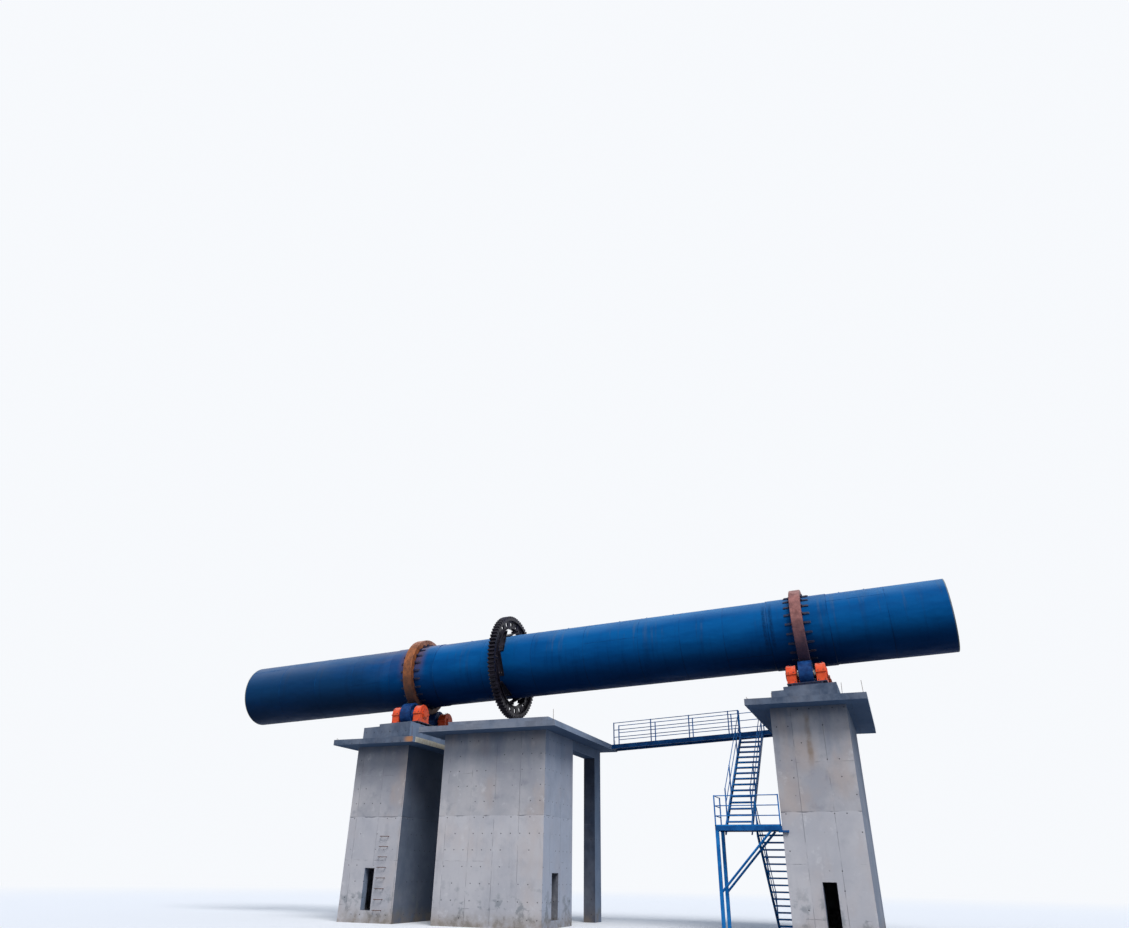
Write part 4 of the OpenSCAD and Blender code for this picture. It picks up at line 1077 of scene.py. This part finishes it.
KICK_HEIGHT = 0.05
KICK_PLATE = 0.005
POST_HALF = 0.065
POST_FOOT_HALF = 0.13
POST_FOOT_PLATE = 0.02
POST_BOLT_AT = 0.097


def post_foot(steel, bolts, x, y):
    """The foot plate of a post, with a bolt at each corner."""
    steel.box((x - POST_FOOT_HALF, y - POST_FOOT_HALF, 0.0),
              (x + POST_FOOT_HALF, y + POST_FOOT_HALF, POST_FOOT_PLATE))
    for dx in (-POST_BOLT_AT, POST_BOLT_AT):
        for dy in (-POST_BOLT_AT, POST_BOLT_AT):
            bolts.bolt(at(x + dx, y + dy, POST_FOOT_PLATE), 0.02, 0.04)


def landing_fittings():
    """Kick plates, post feet with their bolts, and the anchors of the bearer that runs onto the pier."""
    steel = Piece("landing_plates")
    bolts = Piece("landing_bolts")
    a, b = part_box("stair_landing")
    pier = low("upper_pier_front_wall")
    steel.box((a.x, a.y, b.z), (pier.x - 0.01, a.y + KICK_PLATE, b.z + KICK_HEIGHT))
    steel.box((a.x, a.y, b.z), (a.x + KICK_PLATE, b.y, b.z + KICK_HEIGHT))
    first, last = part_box("stair_posts")
    for y in (first.y + POST_HALF, last.y - POST_HALF):
        post_foot(steel, bolts, first.x + POST_HALF, y)
    for x in (pier.x + 0.07, pier.x + 0.18):
        bolts.bolt(at(x, a.y, a.z + 0.037) @ turn(90, "X"), 0.018, 0.03)
    steel.done("piers", LOOKS["stair_paint"])
    bolts.done("piers", BOLT)


# Floor, light and camera
BACKDROP = (0.93, 0.95, 0.98, 1.0)
SKY = (0.32, 0.385, 0.49, 1.0)
FLOOR_SEEN = (0.78, 0.79, 0.81, 1.0)
FLOOR_IN_BOUNCES = (0.2, 0.21, 0.23, 1.0)
FLOOR_REACH = 900.0
FLOOR_MELTS = (34.0, 95.0)


def make_floor():
    """A pale floor that melts into the backdrop far from the kiln."""
    mesh = bpy.data.meshes.new("floor")
    corners = [(x * FLOOR_REACH, y * FLOOR_REACH, 0) for x, y in ((-1, -1), (1, -1), (1, 1), (-1, 1))]
    mesh.from_pydata(corners, [], [[0, 1, 2, 3]])
    floor = bpy.data.objects.new("floor", mesh)
    bpy.context.scene.collection.objects.link(floor)
    look = Look("floor", 0.9)
    x, y = look.split(look.here())[:2]
    bounced = look.nodes.new("ShaderNodeLightPath").outputs["Is Diffuse Ray"]
    look.put(look.shader.inputs["Base Color"], look.mix(bounced, FLOOR_SEEN, FLOOR_IN_BOUNCES))
    glow = look.nodes.new("ShaderNodeEmission")
    glow.inputs["Color"].default_value = BACKDROP
    look.put(glow.inputs["Strength"], look.math("SUBTRACT", 1.0, look.both(bounced, 0.75)))
    join = look.nodes.new("ShaderNodeMixShader")
    look.put(join.inputs[0], look.fade(look.length(x, y), *FLOOR_MELTS))
    look.put(join.inputs[1], look.shader.outputs[0])
    look.put(join.inputs[2], glow.outputs[0])
    look.put(look.nodes["Material Output"].inputs["Surface"], join.outputs[0])
    mesh.materials.append(look.material)


def make_world():
    """A soft sky that lights the kiln, shown to the camera and in reflections as the backdrop."""
    world = bpy.data.worlds.new("studio")
    bpy.context.scene.world = world
    world.use_nodes = True
    nodes, links = world.node_tree.nodes, world.node_tree.links
    rays = nodes.new("ShaderNodeLightPath")
    seen = rays.outputs["Is Camera Ray"]
    for kind in ("Is Glossy Ray", "Is Transmission Ray"):
        either = nodes.new("ShaderNodeMath")
        either.operation = "MAXIMUM"
        links.new(seen, either.inputs[0])
        links.new(rays.outputs[kind], either.inputs[1])
        seen = either.outputs[0]
    mix = nodes.new("ShaderNodeMix")
    mix.data_type = "RGBA"
    links.new(seen, mix.inputs[0])
    mix.inputs[6].default_value = SKY
    mix.inputs[7].default_value = BACKDROP
    links.new(mix.outputs[2], nodes["Background"].inputs["Color"])


def make_sun(name, towards, strength, spread):
    """A lamp that shines from the direction given."""
    data = bpy.data.lights.new(name, "SUN")
    data.energy = strength
    data.angle = math.radians(spread)
    lamp = bpy.data.objects.new(name, data)
    lamp.rotation_mode = "QUATERNION"
    lamp.rotation_quaternion = Vector(towards).to_track_quat("Z", "Y")
    bpy.context.scene.collection.objects.link(lamp)


CAMERA_AT = (15.5, -38.1, 2.1)
CAMERA_YAW = 21.85
CAMERA_PITCH = 27.65
CAMERA_ROLL = 0.853
CAMERA_LENS = 24.91
CAMERA_SENSOR = 36.0
CAMERA_RANGE = 3000.0


def make_camera():
    """The photograph's viewpoint, found from its vanishing lines."""
    data = bpy.data.cameras.new("camera")
    data.lens = CAMERA_LENS
    data.sensor_width = CAMERA_SENSOR
    data.clip_end = CAMERA_RANGE
    camera = bpy.data.objects.new("camera", data)
    camera.matrix_world = (at(*CAMERA_AT) @ turn(CAMERA_YAW, "Z") @ turn(90 + CAMERA_PITCH, "X")
                           @ turn(CAMERA_ROLL, "Z"))
    bpy.context.scene.collection.objects.link(camera)
    bpy.context.scene.camera = camera


dress_frame()
shell_welds()
gear_bolts()
for station in ("lower", "upper"):
    bearing_fittings(station)
    base_fittings(station)
rebar_stubs()
form_board()
walkway_fittings()
for flight in TREADS:
    flight_fittings(flight)
landing_fittings()

make_camera()
make_floor()
make_world()
make_sun("key", (0.42, -0.5, 0.8), 2.75, 32.0)
make_sun("fill", (-0.7, -0.6, 0.4), 0.35, 60.0)
bpy.context.scene.view_settings.view_transform = "Standard"
